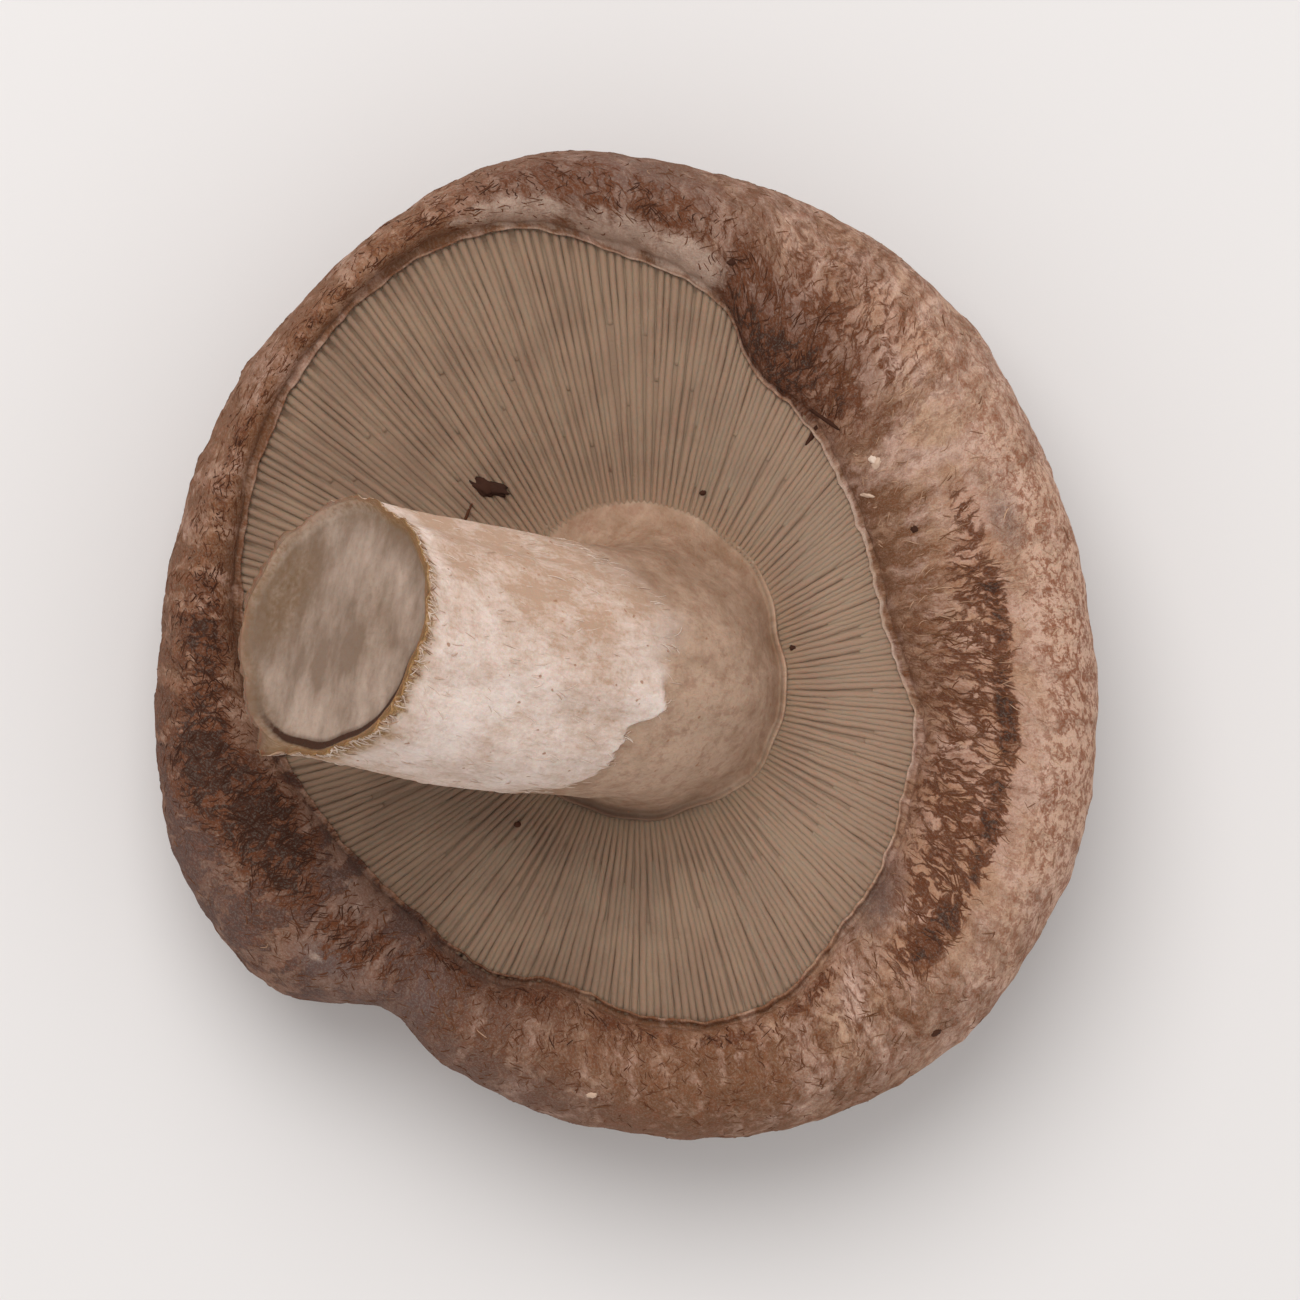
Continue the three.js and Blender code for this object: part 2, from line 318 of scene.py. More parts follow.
def points_and_normals(mesh):
    points = np.zeros(len(mesh.vertices) * 3)
    normals = np.zeros(len(mesh.vertices) * 3)
    mesh.vertices.foreach_get("co", points)
    mesh.vertex_normals.foreach_get("vector", normals)
    return points.reshape(-1, 3) / MM, normals.reshape(-1, 3)


def push_out(mesh, relief):
    """Moves each point along its normal by relief."""
    points, normals = points_and_normals(mesh)
    mesh.vertices.foreach_set("co", ((points + normals * relief[:, None]) * MM).ravel())
    mesh.update()


def show(mesh, *materials):
    for material in materials:
        mesh.materials.append(material)
    piece = bpy.data.objects.new(mesh.name, mesh)
    bpy.context.collection.objects.link(piece)
    return piece


class Patch:
    """A grid of points on a surface and their normals, closed from the last column to the first."""

    def __init__(self, mesh, first, rows, columns):
        points, normals = points_and_normals(mesh)
        grid, shape = slice(first, first + rows * columns), (rows, columns, 3)
        self.points, self.normals = points[grid].reshape(shape), normals[grid].reshape(shape)

    def at(self, row, column):
        """Points and normals between the grid's points, at arrays of rows and columns."""
        rows, columns = self.points.shape[:2]
        row = np.clip(row, 0, rows - 1.001)
        column = np.mod(column, columns)
        i, j = row.astype(int), column.astype(int) % columns
        u, v = (row - i)[..., None], (column - np.floor(column))[..., None]
        k = (j + 1) % columns
        found = []
        for grid in (self.points, self.normals):
            low = grid[i, j] * (1 - v) + grid[i, k] * v
            high = grid[i + 1, j] * (1 - v) + grid[i + 1, k] * v
            found.append(low * (1 - u) + high * u)
        return found


# ---- Node trees --------------------------------------------------------------------------------


class Socket:
    """An output of a node; arithmetic on it adds Math nodes to its tree."""

    def __init__(self, tree, output):
        self.tree, self.output = tree, output

    def math(self, operation, *values):
        return self.tree.node("ShaderNodeMath", {"operation": operation}, dict(enumerate(values)))

    def __add__(self, other):
        return self.math("ADD", self, other)

    def __radd__(self, other):
        return self.math("ADD", other, self)

    def __sub__(self, other):
        return self.math("SUBTRACT", self, other)

    def __rsub__(self, other):
        return self.math("SUBTRACT", other, self)

    def __mul__(self, other):
        return self.math("MULTIPLY", self, other)

    def __rmul__(self, other):
        return self.math("MULTIPLY", other, self)

    def limited(self):
        """Kept between 0 and 1."""
        return self.tree.node("ShaderNodeClamp", None, {0: self})

    def steps(self, low, high):
        """0 below low, 1 above high, smooth between them."""
        settings = {"interpolation_type": "SMOOTHSTEP"}
        return self.tree.node("ShaderNodeMapRange", settings, {0: self, 1: low, 2: high})


class Tree:
    def __init__(self, node_tree):
        self.node_tree = node_tree

    def node(self, kind, settings=None, inputs=None, output=0):
        node = self.node_tree.nodes.new(kind)
        for name, value in (settings or {}).items():
            setattr(node, name, value)
        for key, value in (inputs or {}).items():
            if isinstance(value, Socket):
                self.node_tree.links.new(value.output, node.inputs[key])
            else:
                node.inputs[key].default_value = value
        return Socket(self, node.outputs[output]) if node.outputs else None

    def vector(self, operation, *values):
        return self.node("ShaderNodeVectorMath", {"operation": operation}, dict(enumerate(values)))

    def scaled(self, vector, amount):
        return self.node("ShaderNodeVectorMath", {"operation": "SCALE"}, {0: vector, "Scale": amount})

    def attribute(self, name, output="Fac"):
        return self.node("ShaderNodeAttribute", {"attribute_name": name}, output=output)

    def fields(self, *names):
        return [self.attribute(name) for name in names]

    def mix(self, share, first, second):
        """Blend of two colours; the share is kept between 0 and 1."""
        settings = {"data_type": "RGBA", "clamp_factor": True}
        return self.node("ShaderNodeMix", settings, {0: share, 6: first, 7: second}, 2)

    def coated(self, base, *coats):
        """A colour under coats, each a share and a colour."""
        for share, finish in coats:
            base = self.mix(share, base, finish)
        return base

    def noise(self, place, scale, detail=3, roughness=0.55, output=0):
        inputs = {"Vector": place, "Scale": scale, "Detail": detail, "Roughness": roughness}
        return self.node("ShaderNodeTexNoise", None, inputs, output)

    def borders(self, place, scale):
        """Distance to the nearest border of a net of cells."""
        inputs = {"Vector": place, "Scale": scale}
        return self.node("ShaderNodeTexVoronoi", {"feature": "DISTANCE_TO_EDGE"}, inputs)

    def warped(self, place, scale, reach):
        """Place, shifted about by up to half the reach in each direction."""
        drift = self.noise(place, scale, 2, 0.5, "Color")
        return self.vector("MULTIPLY_ADD", drift, (reach, reach, reach), place)


def colour(red, green, blue):
    """An sRGB colour of 0 to 255 as a linear one."""
    def linear(value):
        value /= 255
        return value / 12.92 if value <= 0.04045 else ((value + 0.055) / 1.055) ** 2.4
    return (linear(red), linear(green), linear(blue), 1)


def material(name, paint, relief, **constants):
    """A Principled material; paint(tree) returns base colour, roughness and height over the surface."""
    made = bpy.data.materials.new(name)
    made.use_nodes = True
    made.node_tree.nodes.clear()
    tree = Tree(made.node_tree)
    base, roughness, height = paint(tree)
    normal = tree.node("ShaderNodeBump", None, {"Distance": relief * MM, "Height": height})
    inputs = {"Base Color": base, "Roughness": roughness, "Normal": normal}
    inputs.update({key.replace("_", " "): value for key, value in constants.items()})
    shader = tree.node("ShaderNodeBsdfPrincipled", {"subsurface_method": "RANDOM_WALK"}, inputs)
    tree.node("ShaderNodeOutputMaterial", None, {"Surface": shader})
    return made


# ---- Finishes ----------------------------------------------------------------------------------

TAN, ROSE_TAN, ORANGE_TAN = colour(188, 151, 124), colour(203, 168, 150), colour(220, 180, 156)
BROWN, REDDISH, RUST = colour(116, 78, 52), colour(136, 78, 48), colour(156, 98, 62)
UMBER, SHADOW, DEEP = colour(96, 53, 29), colour(66, 38, 26), colour(50, 26, 15)
ASH, PALE, CREAM = colour(98, 80, 76), colour(206, 180, 162), colour(228, 208, 192)
CROWN_BROWN, CROWN_DARK = colour(140, 98, 72), colour(100, 64, 46)
GILL_SHADE, GILL_TAN, GILL_LIT_PINK = colour(134, 107, 86), colour(146, 119, 97), colour(164, 134, 112)
GILL_FOOT, GILL_RECESS_SHADE, GILL_GRAIN = colour(156, 124, 100), colour(124, 94, 72), colour(150, 118, 92)
STEM_TAN, STEM_WHITE, STEM_FIBRE = colour(184, 150, 126), colour(236, 217, 206), colour(196, 156, 128)
BARE_BROWN, BARE_TAN = colour(140, 106, 80), colour(190, 158, 134)
BARE_SPOT, BARE_GRAIN = colour(140, 96, 72), colour(136, 94, 70)
STEM_DOT, STEM_TUCK_SHADOW = colour(150, 96, 60), colour(84, 56, 38)
FRINGE_TAN, FRINGE_BROWN = colour(160, 122, 74), colour(104, 70, 38)
CUT_GREY, CUT_LIGHT, CUT_STAIN = colour(124, 102, 86), colour(170, 148, 132), colour(108, 80, 52)
CUT_GRAIN, CUT_GAP_SHADE = colour(116, 92, 76), colour(58, 30, 12)
CUT_RIM_TAN, CUT_RIM_BROWN = colour(150, 112, 66), colour(108, 72, 36)


def paint_skin(tree):
    """Tan velvet with fibres that run across the margin, dark brown where it is bruised; painted shadow
    along the lower lip and in a crease, a painted highlight on the lower left, and painted light on the
    outer margin's right side.
    """
    flow = tree.attribute("flow", "Vector")
    umber, fingers, pale, ash = tree.fields("umber", "fingers", "pale", "ash")
    shade, outer, crown = tree.fields("shade", "outer", "crown")
    bent = tree.warped(tree.warped(flow, 0.4, 2.4), 1.6, 0.9)
    loops = 1 - tree.borders(tree.vector("MULTIPLY", bent, (1, 1, 0.36)), 1.15).steps(0.02, 0.2)
    strands = tree.noise(tree.vector("MULTIPLY", bent, (1, 1, 0.14)), 2.1, 5, 0.65)
    bands = tree.noise(tree.vector("MULTIPLY", bent, (1, 1, 0.2)), 0.6, 4, 0.6)
    patchy = tree.noise(flow, 0.9, 5, 0.65)
    clouds = tree.noise(flow, 0.3, 5, 0.6)
    specks = tree.noise(tree.warped(flow, 2, 0.6), 1.7, 3, 0.7)
    veins = 1 - tree.borders(tree.warped(bent, 1.1, 1.6), 0.8).steps(0.02, 0.16)
    grain = tree.noise(flow, 6, 3, 0.75)
    threaded = 0.45 + loops * 0.45 + strands * 0.5 + (bands - 0.5) * 1.1
    cover = umber * threaded + (patchy - 0.5) * 0.8
    base = tree.coated(
        tree.mix(clouds.steps(0.4, 0.6), ROSE_TAN, TAN),
        # painted light in part: outer is weighted towards the lit right side
        (outer * 0.8, ORANGE_TAN),
        (shade * 0.92 + (patchy - 0.5) * 1.6 + (strands - 0.5) * 1.2 + (bands - 0.49) * 2.6, BROWN),
        ((shade - 1) * 2.6 * bands.steps(0.46, 0.54), SHADOW),
        ((shade - 1) * 0.5 * bands.steps(0.5, 0.42), ROSE_TAN),
        (crown, tree.mix(clouds.steps(0.35, 0.65), CROWN_BROWN, CROWN_DARK)),
        (specks.steps(0.5, 0.6) * (0.2 + outer * 0.6), REDDISH),
        (veins * outer * patchy.steps(0.4, 0.56) * 0.85, REDDISH),
        # ash also carries painted shade along a crease
        (ash * (0.4 + patchy), ASH),
        (umber * (0.3 + strands * 0.8) * (0.8 - shade * 0.6), RUST),
        # cover also carries the painted shadow along the lower lip
        (cover.steps(0.5, 0.85), UMBER),
        (fingers * loops * strands.steps(0.38, 0.58), UMBER),
        (cover.steps(0.9, 1.3), DEEP),
        # pale also carries a small painted highlight on the lower left
        ((pale + (patchy - 0.5) * 1.5).steps(0.3, 0.8) * 0.6, PALE),
        (grain.steps(0.42, 0.7) * 0.25, REDDISH),
        (grain.steps(0.56, 0.36) * 0.14, PALE),
    )
    height = grain * 0.4 + strands * 0.4 + specks * 0.2 - cover.steps(0.5, 0.85) * 0.25
    return base, 0.8 + grain * 0.15, height


def paint_fibres(tree):
    """From nearly black at tone 0 over brown and tan to cream."""
    tone, flow = tree.attribute("tone"), tree.attribute("flow", "Vector")
    grain = tree.noise(flow, 4, 2, 0.6)
    base = tree.coated(
        DEEP,
        (tone.steps(0, 0.4), UMBER),
        (tone.steps(0.3, 0.7), BROWN),
        (tone.steps(0.6, 0.9), TAN),
        (tone.steps(1, 1.3), CREAM),
    )
    return base, 0.8 + grain * 0.15, grain


def paint_gills(tree):
    """Soft beige, with painted shade making it browner down between the gills, and painted light making
    it pinker on the right.
    """
    depth, foot = tree.fields("depth", "foot")
    flow = tree.attribute("flow", "Vector")
    mottle = tree.noise(flow, 0.25, 3, 0.55).steps(0.35, 0.65)
    right = tree.node("ShaderNodeSeparateXYZ", None, {0: flow}).steps(0, 20)
    grain = tree.noise(flow, 5, 3, 0.6)
    base = tree.coated(
        GILL_SHADE,
        (mottle, GILL_TAN),
        # painted light: lighter and pinker towards the right
        (right * 0.7, GILL_LIT_PINK),
        (foot, GILL_FOOT),
        # painted shade: darker down the blades and on the bed between them
        (depth.steps(0.1, 1) * 0.2, GILL_RECESS_SHADE),
        (grain.steps(0.5, 0.8) * 0.25, GILL_GRAIN),
    )
    return base, 0.75 + mottle * 0.1, grain


def paint_stem(tree):
    """White fibrous skin, torn off round the foot, where the flesh is tan; painted light on the stem's
    lit side and painted shadow under the tucked-in foot.
    """
    flow = tree.attribute("flow", "Vector")
    foot, fringe, light, gap = tree.fields("foot", "fringe", "light", "gap")
    bent = tree.warped(flow, 0.4, 2)
    mottle = tree.noise(bent, 0.3, 5, 0.6)
    patchy = tree.noise(bent, 0.5, 5, 0.65)
    fibres = tree.noise(tree.vector("MULTIPLY", bent, (1, 1, 0.2)), 2.2, 4, 0.65)
    spots = tree.noise(flow, 1.1, 3, 0.65).steps(0.5, 0.66)
    dots = tree.noise(flow, 1.6, 1, 0.6).steps(0.72, 0.77)
    grain = tree.noise(flow, 3.5, 3, 0.7)
    # light: painted light where the stem is lit, and the pale ridge round the foot
    bare = tree.coated(
        BARE_BROWN,
        ((patchy - 0.5) * 2.2 + 0.35 + light * 0.5, BARE_TAN),
        (spots * 0.4, BARE_SPOT),
        (grain.steps(0.45, 0.75) * 0.3, BARE_GRAIN),
    )
    white = 0.12 + (mottle - 0.5) * 1.9 + (fibres - 0.5) * 1.3 + (grain - 0.5) * 0.9 + light
    base = tree.coated(
        STEM_TAN,
        (white, STEM_WHITE),
        (fibres.steps(0.5, 0.72) * 0.3, STEM_FIBRE),
        (foot, bare),
        # painted shadow under the tucked-in foot
        (gap, STEM_TUCK_SHADOW),
        (dots * 0.7, STEM_DOT),
        (fringe * (0.4 + grain), FRINGE_TAN),
        (fringe * grain.steps(0.45, 0.6) * 0.6, FRINGE_BROWN),
    )
    return base, 0.72 + grain * 0.15, fibres * 0.5 + grain * 0.5


def paint_cut(tree):
    """Greyish streaked flesh inside a brown rim, with painted shade in a dark gap along part of it."""
    flow = tree.attribute("flow", "Vector")
    fringe, stain, light, gap = tree.fields("fringe", "stain", "light", "gap")
    streaks = tree.noise(tree.vector("MULTIPLY", flow, (1, 0.3, 1)), 0.6, 4, 0.6)
    fine = tree.noise(flow, 2.5, 3, 0.6)
    base = tree.coated(
        CUT_GREY,
        (light + (streaks - 0.5) * 2.8, CUT_LIGHT),
        (stain * (fine * 1.8 - 0.2), CUT_STAIN),
        (fine.steps(0.5, 0.75) * 0.2, CUT_GRAIN),
        (fringe * (0.3 + fine), CUT_RIM_TAN),
        ((fringe * fine.steps(0.45, 0.6)).limited() * 0.7, CUT_RIM_BROWN),
        # painted shade in the gap along the rim
        (gap * (0.6 + fine), CUT_GAP_SHADE),
    )
    return base, 0.68 + fine * 0.1, fine


# ---- Cap ---------------------------------------------------------------------------------------

SKIN_COLUMNS = 704
CROWN_ROWS, OUTER_ROWS, INNER_ROWS = 32, 44, 32
CROWN_STOP = 0.42  # share of the crown inside which its rings have fewer and fewer points
CROWN_RINGS, CROWN_EDGE = 28, 0.6
SPOT_RINGS = 12  # on the flat spot
FLOW_RADIUS = 30  # the skin's pattern is laid out round a circle of this radius
BED_COLUMNS = 352

# Blotches: azimuth, place across the margin (0 lip, 0.5 crest, 1 girth), half sizes, strength.
UMBER_AND_LIP_SHADOW_PATCHES = [
    (24, 0.48, 6, 0.1, 0.8), (14, 0.42, 9, 0.16, 0.85), (3, 0.33, 10, 0.22, 0.8),
    (-10, 0.28, 11, 0.27, 0.8), (-23, 0.27, 11, 0.28, 0.85), (-35, 0.28, 9, 0.26, 0.9),
    (-46, 0.38, 7, 0.18, 0.8), (8, 0.5, 10, 0.07, 1.1), (-8, 0.46, 12, 0.08, 1.15),
    (-26, 0.44, 13, 0.09, 1.15), (-42, 0.42, 8, 0.12, 1.15),
    (71, 0.1, 8, 0.2, 1.15), (63, 0.14, 9, 0.24, 1.2), (54, 0.16, 7, 0.2, 0.95),
    (73, 0.36, 8, 0.2, 0.85), (62, 0.46, 9, 0.22, 0.8), (55, 0.7, 7, 0.14, 0.5),
    (90, 0.44, 9, 0.12, 1.0), (88, 0.58, 11, 0.2, 0.85), (100, 0.66, 10, 0.26, 0.8),
    (115, 0.6, 12, 0.3, 0.65),
    # Painted shadow: the blotches by the lip from azimuth 238 to 298 darken the margin just outside the
    # lower lip.
    (238, 0.12, 8, 0.12, 0.8), (252, 0.1, 10, 0.1, 0.85), (268, 0.1, 10, 0.1, 0.85),
    (284, 0.1, 8, 0.1, 0.8), (298, 0.07, 8, 0.07, 0.8), (262, 0.42, 14, 0.12, 0.5),
    (203, 0.36, 10, 0.3, 1.7), (192, 0.6, 9, 0.3, 1.65), (212, 0.4, 6, 0.2, 1.15),
    (224, 0.42, 8, 0.24, 1.0), (178, 0.5, 12, 0.35, 1.1), (155, 0.55, 14, 0.3, 0.65),
    (132, 0.5, 12, 0.3, 0.6),
]
FINGER_PATCHES = [
    (2, 0.16, 10, 0.16, 0.9), (-14, 0.16, 14, 0.2, 1.0), (-32, 0.2, 14, 0.24, 1.0),
    (-60, 0.35, 16, 0.35, 0.8), (60, 0.45, 17, 0.45, 1.2), (88, 0.36, 12, 0.26, 1.2),
    (99, 0.3, 7, 0.22, 1.0), (250, 0.4, 24, 0.4, 0.5),
]
PALE_AND_HIGHLIGHT_PATCHES = [
    (105, 0.24, 8, 0.32, 0.7), (93, 0.14, 8, 0.26, 0.75), (221, 0.2, 9, 0.2, 0.3),
    # Painted highlight: the small blotch at azimuth 222, place 0.66, on the dark lower-left margin.
    (83, 0.12, 5.5, 0.22, 1.0), (222, 0.66, 1.5, 0.035, 0.6),
]
ASH_AND_CREASE_SHADE_PATCHES = [
    (317, 0.05, 6, 0.1, 0.9), (66, 0.2, 15, 0.35, 1.0), (92, 0.6, 16, 0.35, 0.8),
    (250, 0.85, 16, 0.2, 0.5), (230, 0.8, 10, 0.25, 0.6), (224, 0.65, 5, 0.14, 1.0),
    # Painted shade: the narrow streak at azimuth 237 darkens a crease in the lower-left margin.
    (237, 0.6, 3, 0.5, 0.9), (22, 0.66, 5, 0.08, 0.5), (208, 0.9, 14, 0.2, 0.5),
    (228, 0.3, 30, 0.45, 0.5),
]
# How brown the skin is under its patches, round the cap, and smooth brown patches by the lip.
SKIN_SHADES = [
    (0, 0.0), (35, 0.15), (55, 0.4), (75, 0.75), (100, 1.0), (130, 0.9), (180, 1.2),
    (205, 1.5), (222, 1.45), (240, 1.25), (262, 1.0), (285, 1.0), (305, 0.55), (330, 0.12),
]
BROWN_PATCHES = [(14, 0.06, 34, 0.26, 0.95), (48, 0.2, 12, 0.3, 0.7), (-60, 0.15, 20, 0.2, 0.6)]
GUTTER_DEPTHS = [
    (0, 0.0), (45, 0.0), (62, 0.3), (80, 0.1), (110, 0.1), (180, 0.2), (222, 0.2),
    (240, 0.4), (262, 0.4), (285, 0.45), (310, 0.4), (325, 0.25), (338, 0.05),
]
LIP_RIPPLES = [(31, 0.05, 10), (47, 0.04, 200), (73, 0.03, 130), (109, 0.03, 80)]
# Profile of the lip: out from its edge, up, share of the gutter's depth taken, share of pale rim.
LIP_PROFILE = [
    (0.42, -0.02, 1, 0), (0.24, -0.02, 0.7, 0.2), (0.12, 0.0, 0, 0.8),
    (0.02, 0.06, 0, 1), (-0.08, 0.0, 0, 1), (-0.06, -0.25, 0, 1),
]
LIP_PALENESS = [
    (0, 0.6), (50, 0.7), (66, 0.1), (82, 0.6), (110, 0.4), (180, 0.3), (240, 0.15),
    (300, 0.15), (330, 0.3),
]
# Relief in layers: height, bump size along x, y and z of the flow, and seed.
SKIN_RELIEF = [
    (0.3, (6, 6, 6), 1), (0.16, (1.7, 1.7, 4), 2), (0.07, (0.8, 0.8, 1.8), 3),
    (0.04, (0.55, 0.55, 0.55), 4),
]
PALE_RELIEF = [(0.12, (1.1, 1.1, 1.1), 5)]


class Cap:
    """The cap's closed surface, whose skin is a regular grid from the crown to the gutter."""

    def __init__(self, skin, flesh):
        self.surface = RingSurface("umber", "fingers", "pale", "ash", "shade", "outer", "crown",
                                   "relief", "depth", "foot")
        section = Section(even_angles(SKIN_COLUMNS))
        margin = np.arange(OUTER_ROWS + INNER_ROWS + 1)
        outward = (margin < OUTER_ROWS) * (OUTER_ROWS - margin) / OUTER_ROWS
        inward = (margin >= OUTER_ROWS) * (margin - OUTER_ROWS) / INNER_ROWS
        rows = [section.crown(1 - (1 - CROWN_STOP) * k / CROWN_ROWS) for k in range(CROWN_ROWS, 0, -1)]
        rows += [section.outer_margin(1 - share) for share in outward[:OUTER_ROWS]]
        rows += [section.inner_margin(share) for share in inward[OUTER_ROWS:]]
        steps = np.linalg.norm(np.diff(rows, axis=0), axis=2)
        travel = np.concatenate([np.cumsum(steps[::-1], axis=0)[::-1], np.zeros((1, SKIN_COLUMNS))])
        places = 0.5 + 0.5 * np.sin(outward * math.pi / 2) - 0.5 * np.sin(inward * math.pi / 2)
        self.places = np.concatenate([np.linspace(2, 1, CROWN_ROWS, endpoint=False), places])
        self.add_crown_centre(travel[0])
        self.first_row = self.surface.count
        for points, far, place in zip(rows, travel, self.places):
            self.add_skin(section, points, far, place)
        for out, up, gutter, lip in LIP_PROFILE:
            self.add_lip(section, out, up, gutter, lip)
        self.add_gill_bed(Section(even_angles(BED_COLUMNS)))
        self.piece = self.finish(skin, flesh)

    def add_skin(self, section, points, travel, place, lip=0.0):
        azimuth = section.azimuth
        size = FLOW_RADIUS * (np.hypot(points[:, 0], points[:, 1]) / section.girth if place > 1 else 1)
        on_margin = min(place, 1)
        below_crown = smoothstep(place, 1.6, 1)
        shown = below_crown * (1 - lip)
        veil = patches(PALE_AND_HIGHLIGHT_PATCHES, azimuth, on_margin) * shown
        browned = patches(BROWN_PATCHES, azimuth, on_margin) * shown
        # Painted light: the outer margin's orange tan is strongest on the lit right side round azimuth
        # 0; the same field places the outer veins and specks.
        lit = 0.25 + 0.75 * bump(azimuth, 0, 75)
        self.surface.add(
            azimuth, points, section.polar(size, travel),
            umber=patches(UMBER_AND_LIP_SHADOW_PATCHES, azimuth, on_margin) * shown,
            fingers=patches(FINGER_PATCHES, azimuth, on_margin) * shown,
            pale=np.maximum(veil, lip * around(LIP_PALENESS, azimuth)),
            ash=patches(ASH_AND_CREASE_SHADE_PATCHES, azimuth, on_margin) * shown,
            shade=np.maximum(around(SKIN_SHADES, azimuth), browned),
            outer=lit * smoothstep(place, 0.5, 0.8) * below_crown,
            crown=smoothstep(place, 0.95, 1.5), relief=1 - lip,
        )

    def add_crown_centre(self, travel):
        """The crown from its middle out to where the skin's grid starts."""
        far = travel.mean() + REST_RADIUS
        self.add_skin(Section(np.zeros(1)), np.zeros((1, 3)), far, 3)
        for k in range(1, SPOT_RINGS):
            radius = REST_RADIUS * k / SPOT_RINGS
            section = Section(even_angles(round(2 * math.pi * radius / CROWN_EDGE)))
            self.add_skin(section, section.polar(radius, 0), far - radius, 3)
        for k in range(CROWN_RINGS):
            share = CROWN_STOP * k / CROWN_RINGS
            radius = Section(np.zeros(1)).crown(share)[0, 0]
            count = min(SKIN_COLUMNS, round(2 * math.pi * radius / CROWN_EDGE))
            section = Section(even_angles(count))
            here = np.interp(section.azimuth, even_angles(SKIN_COLUMNS), travel, period=360)
            here = here + (far - REST_RADIUS - here) * (1 - k / CROWN_RINGS)
            self.add_skin(section, section.crown(share), here, 3 - k / CROWN_RINGS)

    def add_lip(self, section, out, up, gutter, lip):
        ripple = waves(LIP_RIPPLES, section.azimuth)
        drop = around(GUTTER_DEPTHS, section.azimuth) * gutter
        points = section.polar(section.lip + out + ripple, section.lip_height + up - drop + ripple * 0.4)
        self.add_skin(section, points, out - GUTTER_WIDTH, 0, lip)

    def add_gill_bed(self, section):
        """The flesh between the gills, closed under the stem."""
        inner, outer = section.gill_ends()
        for share in (1, 0.9, 0.75, 0.6, 0.45, 0.3, 0.15, 0):
            points = inner + (outer - inner) * share
            points[:, 2] += GILL_BELLY * arch(share) - bed_depth(share)
            # depth 1 gives the bed between the gills its painted shade
            self.surface.add(section.azimuth, points, points, 1, depth=1, foot=foot_tint(share))
        self.surface.add([0], [STEM_ROOT], [STEM_ROOT], 1, depth=1, foot=1)

    def finish(self, skin, flesh):
        surface = self.surface
        mesh = surface.mesh("cap")
        pale, skinned = (np.concatenate(surface.fields[name]) for name in ("pale", "relief"))
        flow, heights = np.concatenate(surface.flow), np.concatenate(surface.points)[:, 2]
        relief = layered(flow, SKIN_RELIEF) + pale * layered(flow, PALE_RELIEF)
        push_out(mesh, relief * skinned * smoothstep(heights, 0, 2.5))
        self.patch = Patch(mesh, self.first_row, len(self.places), SKIN_COLUMNS)
        return show(mesh, skin, flesh)

    def row_at(self, place):
        """Row of the patch at a place from lip 0 over crest 0.5 and girth 1 to 2."""
        rows = np.arange(len(self.places))
        return np.interp(place, self.places[::-1], rows[::-1])


def bed_depth(share):
    """Depth of the space between gills, from the collar, share 0, to the lip, share 1."""
    return GILL_DEPTH * (0.1 + 0.9 * smoothstep(share, 0, 0.3)) * (1 - 0.4 * smoothstep(share, 0.9, 1))


def foot_tint(share):
    return 1 - smoothstep(share, 0.02, 0.3)


# ---- Geometry Nodes ----------------------------------------------------------------------------


def new_tree(name, *sizes):
    """A tree with a geometry and named sizes coming in, and the sockets that they come on."""
    group = bpy.data.node_groups.new(name, "GeometryNodeTree")
    group.interface.new_socket("Geometry", in_out="INPUT", socket_type="NodeSocketGeometry")
    for size in sizes:
        group.interface.new_socket(size, in_out="INPUT", socket_type="NodeSocketFloat")
    group.interface.new_socket("Geometry", in_out="OUTPUT", socket_type="NodeSocketGeometry")
    source = group.nodes.new("NodeGroupInput")
    tree = Tree(group)
    return [tree] + [Socket(tree, output) for output in list(source.outputs)[: len(sizes) + 1]]


def named(tree, name, kind="FLOAT"):
    return tree.node("GeometryNodeInputNamedAttribute", {"data_type": kind}, {"Name": name})


def stored(tree, geometry, name, value, kind="FLOAT"):
    settings = {"data_type": kind, "domain": "POINT"}
    inputs = {"Geometry": geometry, "Name": name, "Value": value}
    return tree.node("GeometryNodeStoreNamedAttribute", settings, inputs)


def close_tree(tree, geometry, finish):
    """Ends a tree with plain, smooth geometry in one material."""
    whole = tree.node("GeometryNodeRealizeInstances", None, {0: geometry})
    smooth = tree.node("GeometryNodeSetShadeSmooth", None, {"Geometry": whole})
    done = tree.node("GeometryNodeSetMaterial", None, {"Geometry": smooth, "Material": finish})
    tree.node("NodeGroupOutput", None, {0: done})
    return tree.node_tree


def grown(seed_mesh, group, **sizes):
    """Runs a Geometry Nodes tree on a mesh and returns the result as a plain piece."""
    name = seed_mesh.name
    seed = show(seed_mesh)
    modifier = seed.modifiers.new("grow", "NODES")
    modifier.node_group = group
    for item in group.interface.items_tree:
        if item.in_out == "INPUT" and item.name in sizes:
            modifier[item.identifier] = sizes[item.name]
    graph = bpy.context.evaluated_depsgraph_get()
    mesh = bpy.data.meshes.new_from_object(seed.evaluated_get(graph))
    bpy.data.objects.remove(seed)
    bpy.data.meshes.remove(seed_mesh)
    mesh.name = name
    return show(mesh)


# ---- Gills -------------------------------------------------------------------------------------

GILL_COUNT = 300
FULL_SHARE = 0.62  # of the gills reach the stem
GILL_THICKNESS = 0.53
GILL_WAVE, GILL_NICK = 0.16, 0.08  # to the sides, and of the edge
BLADE_POINTS = 28  # along each gill
GILL_SEED = 11


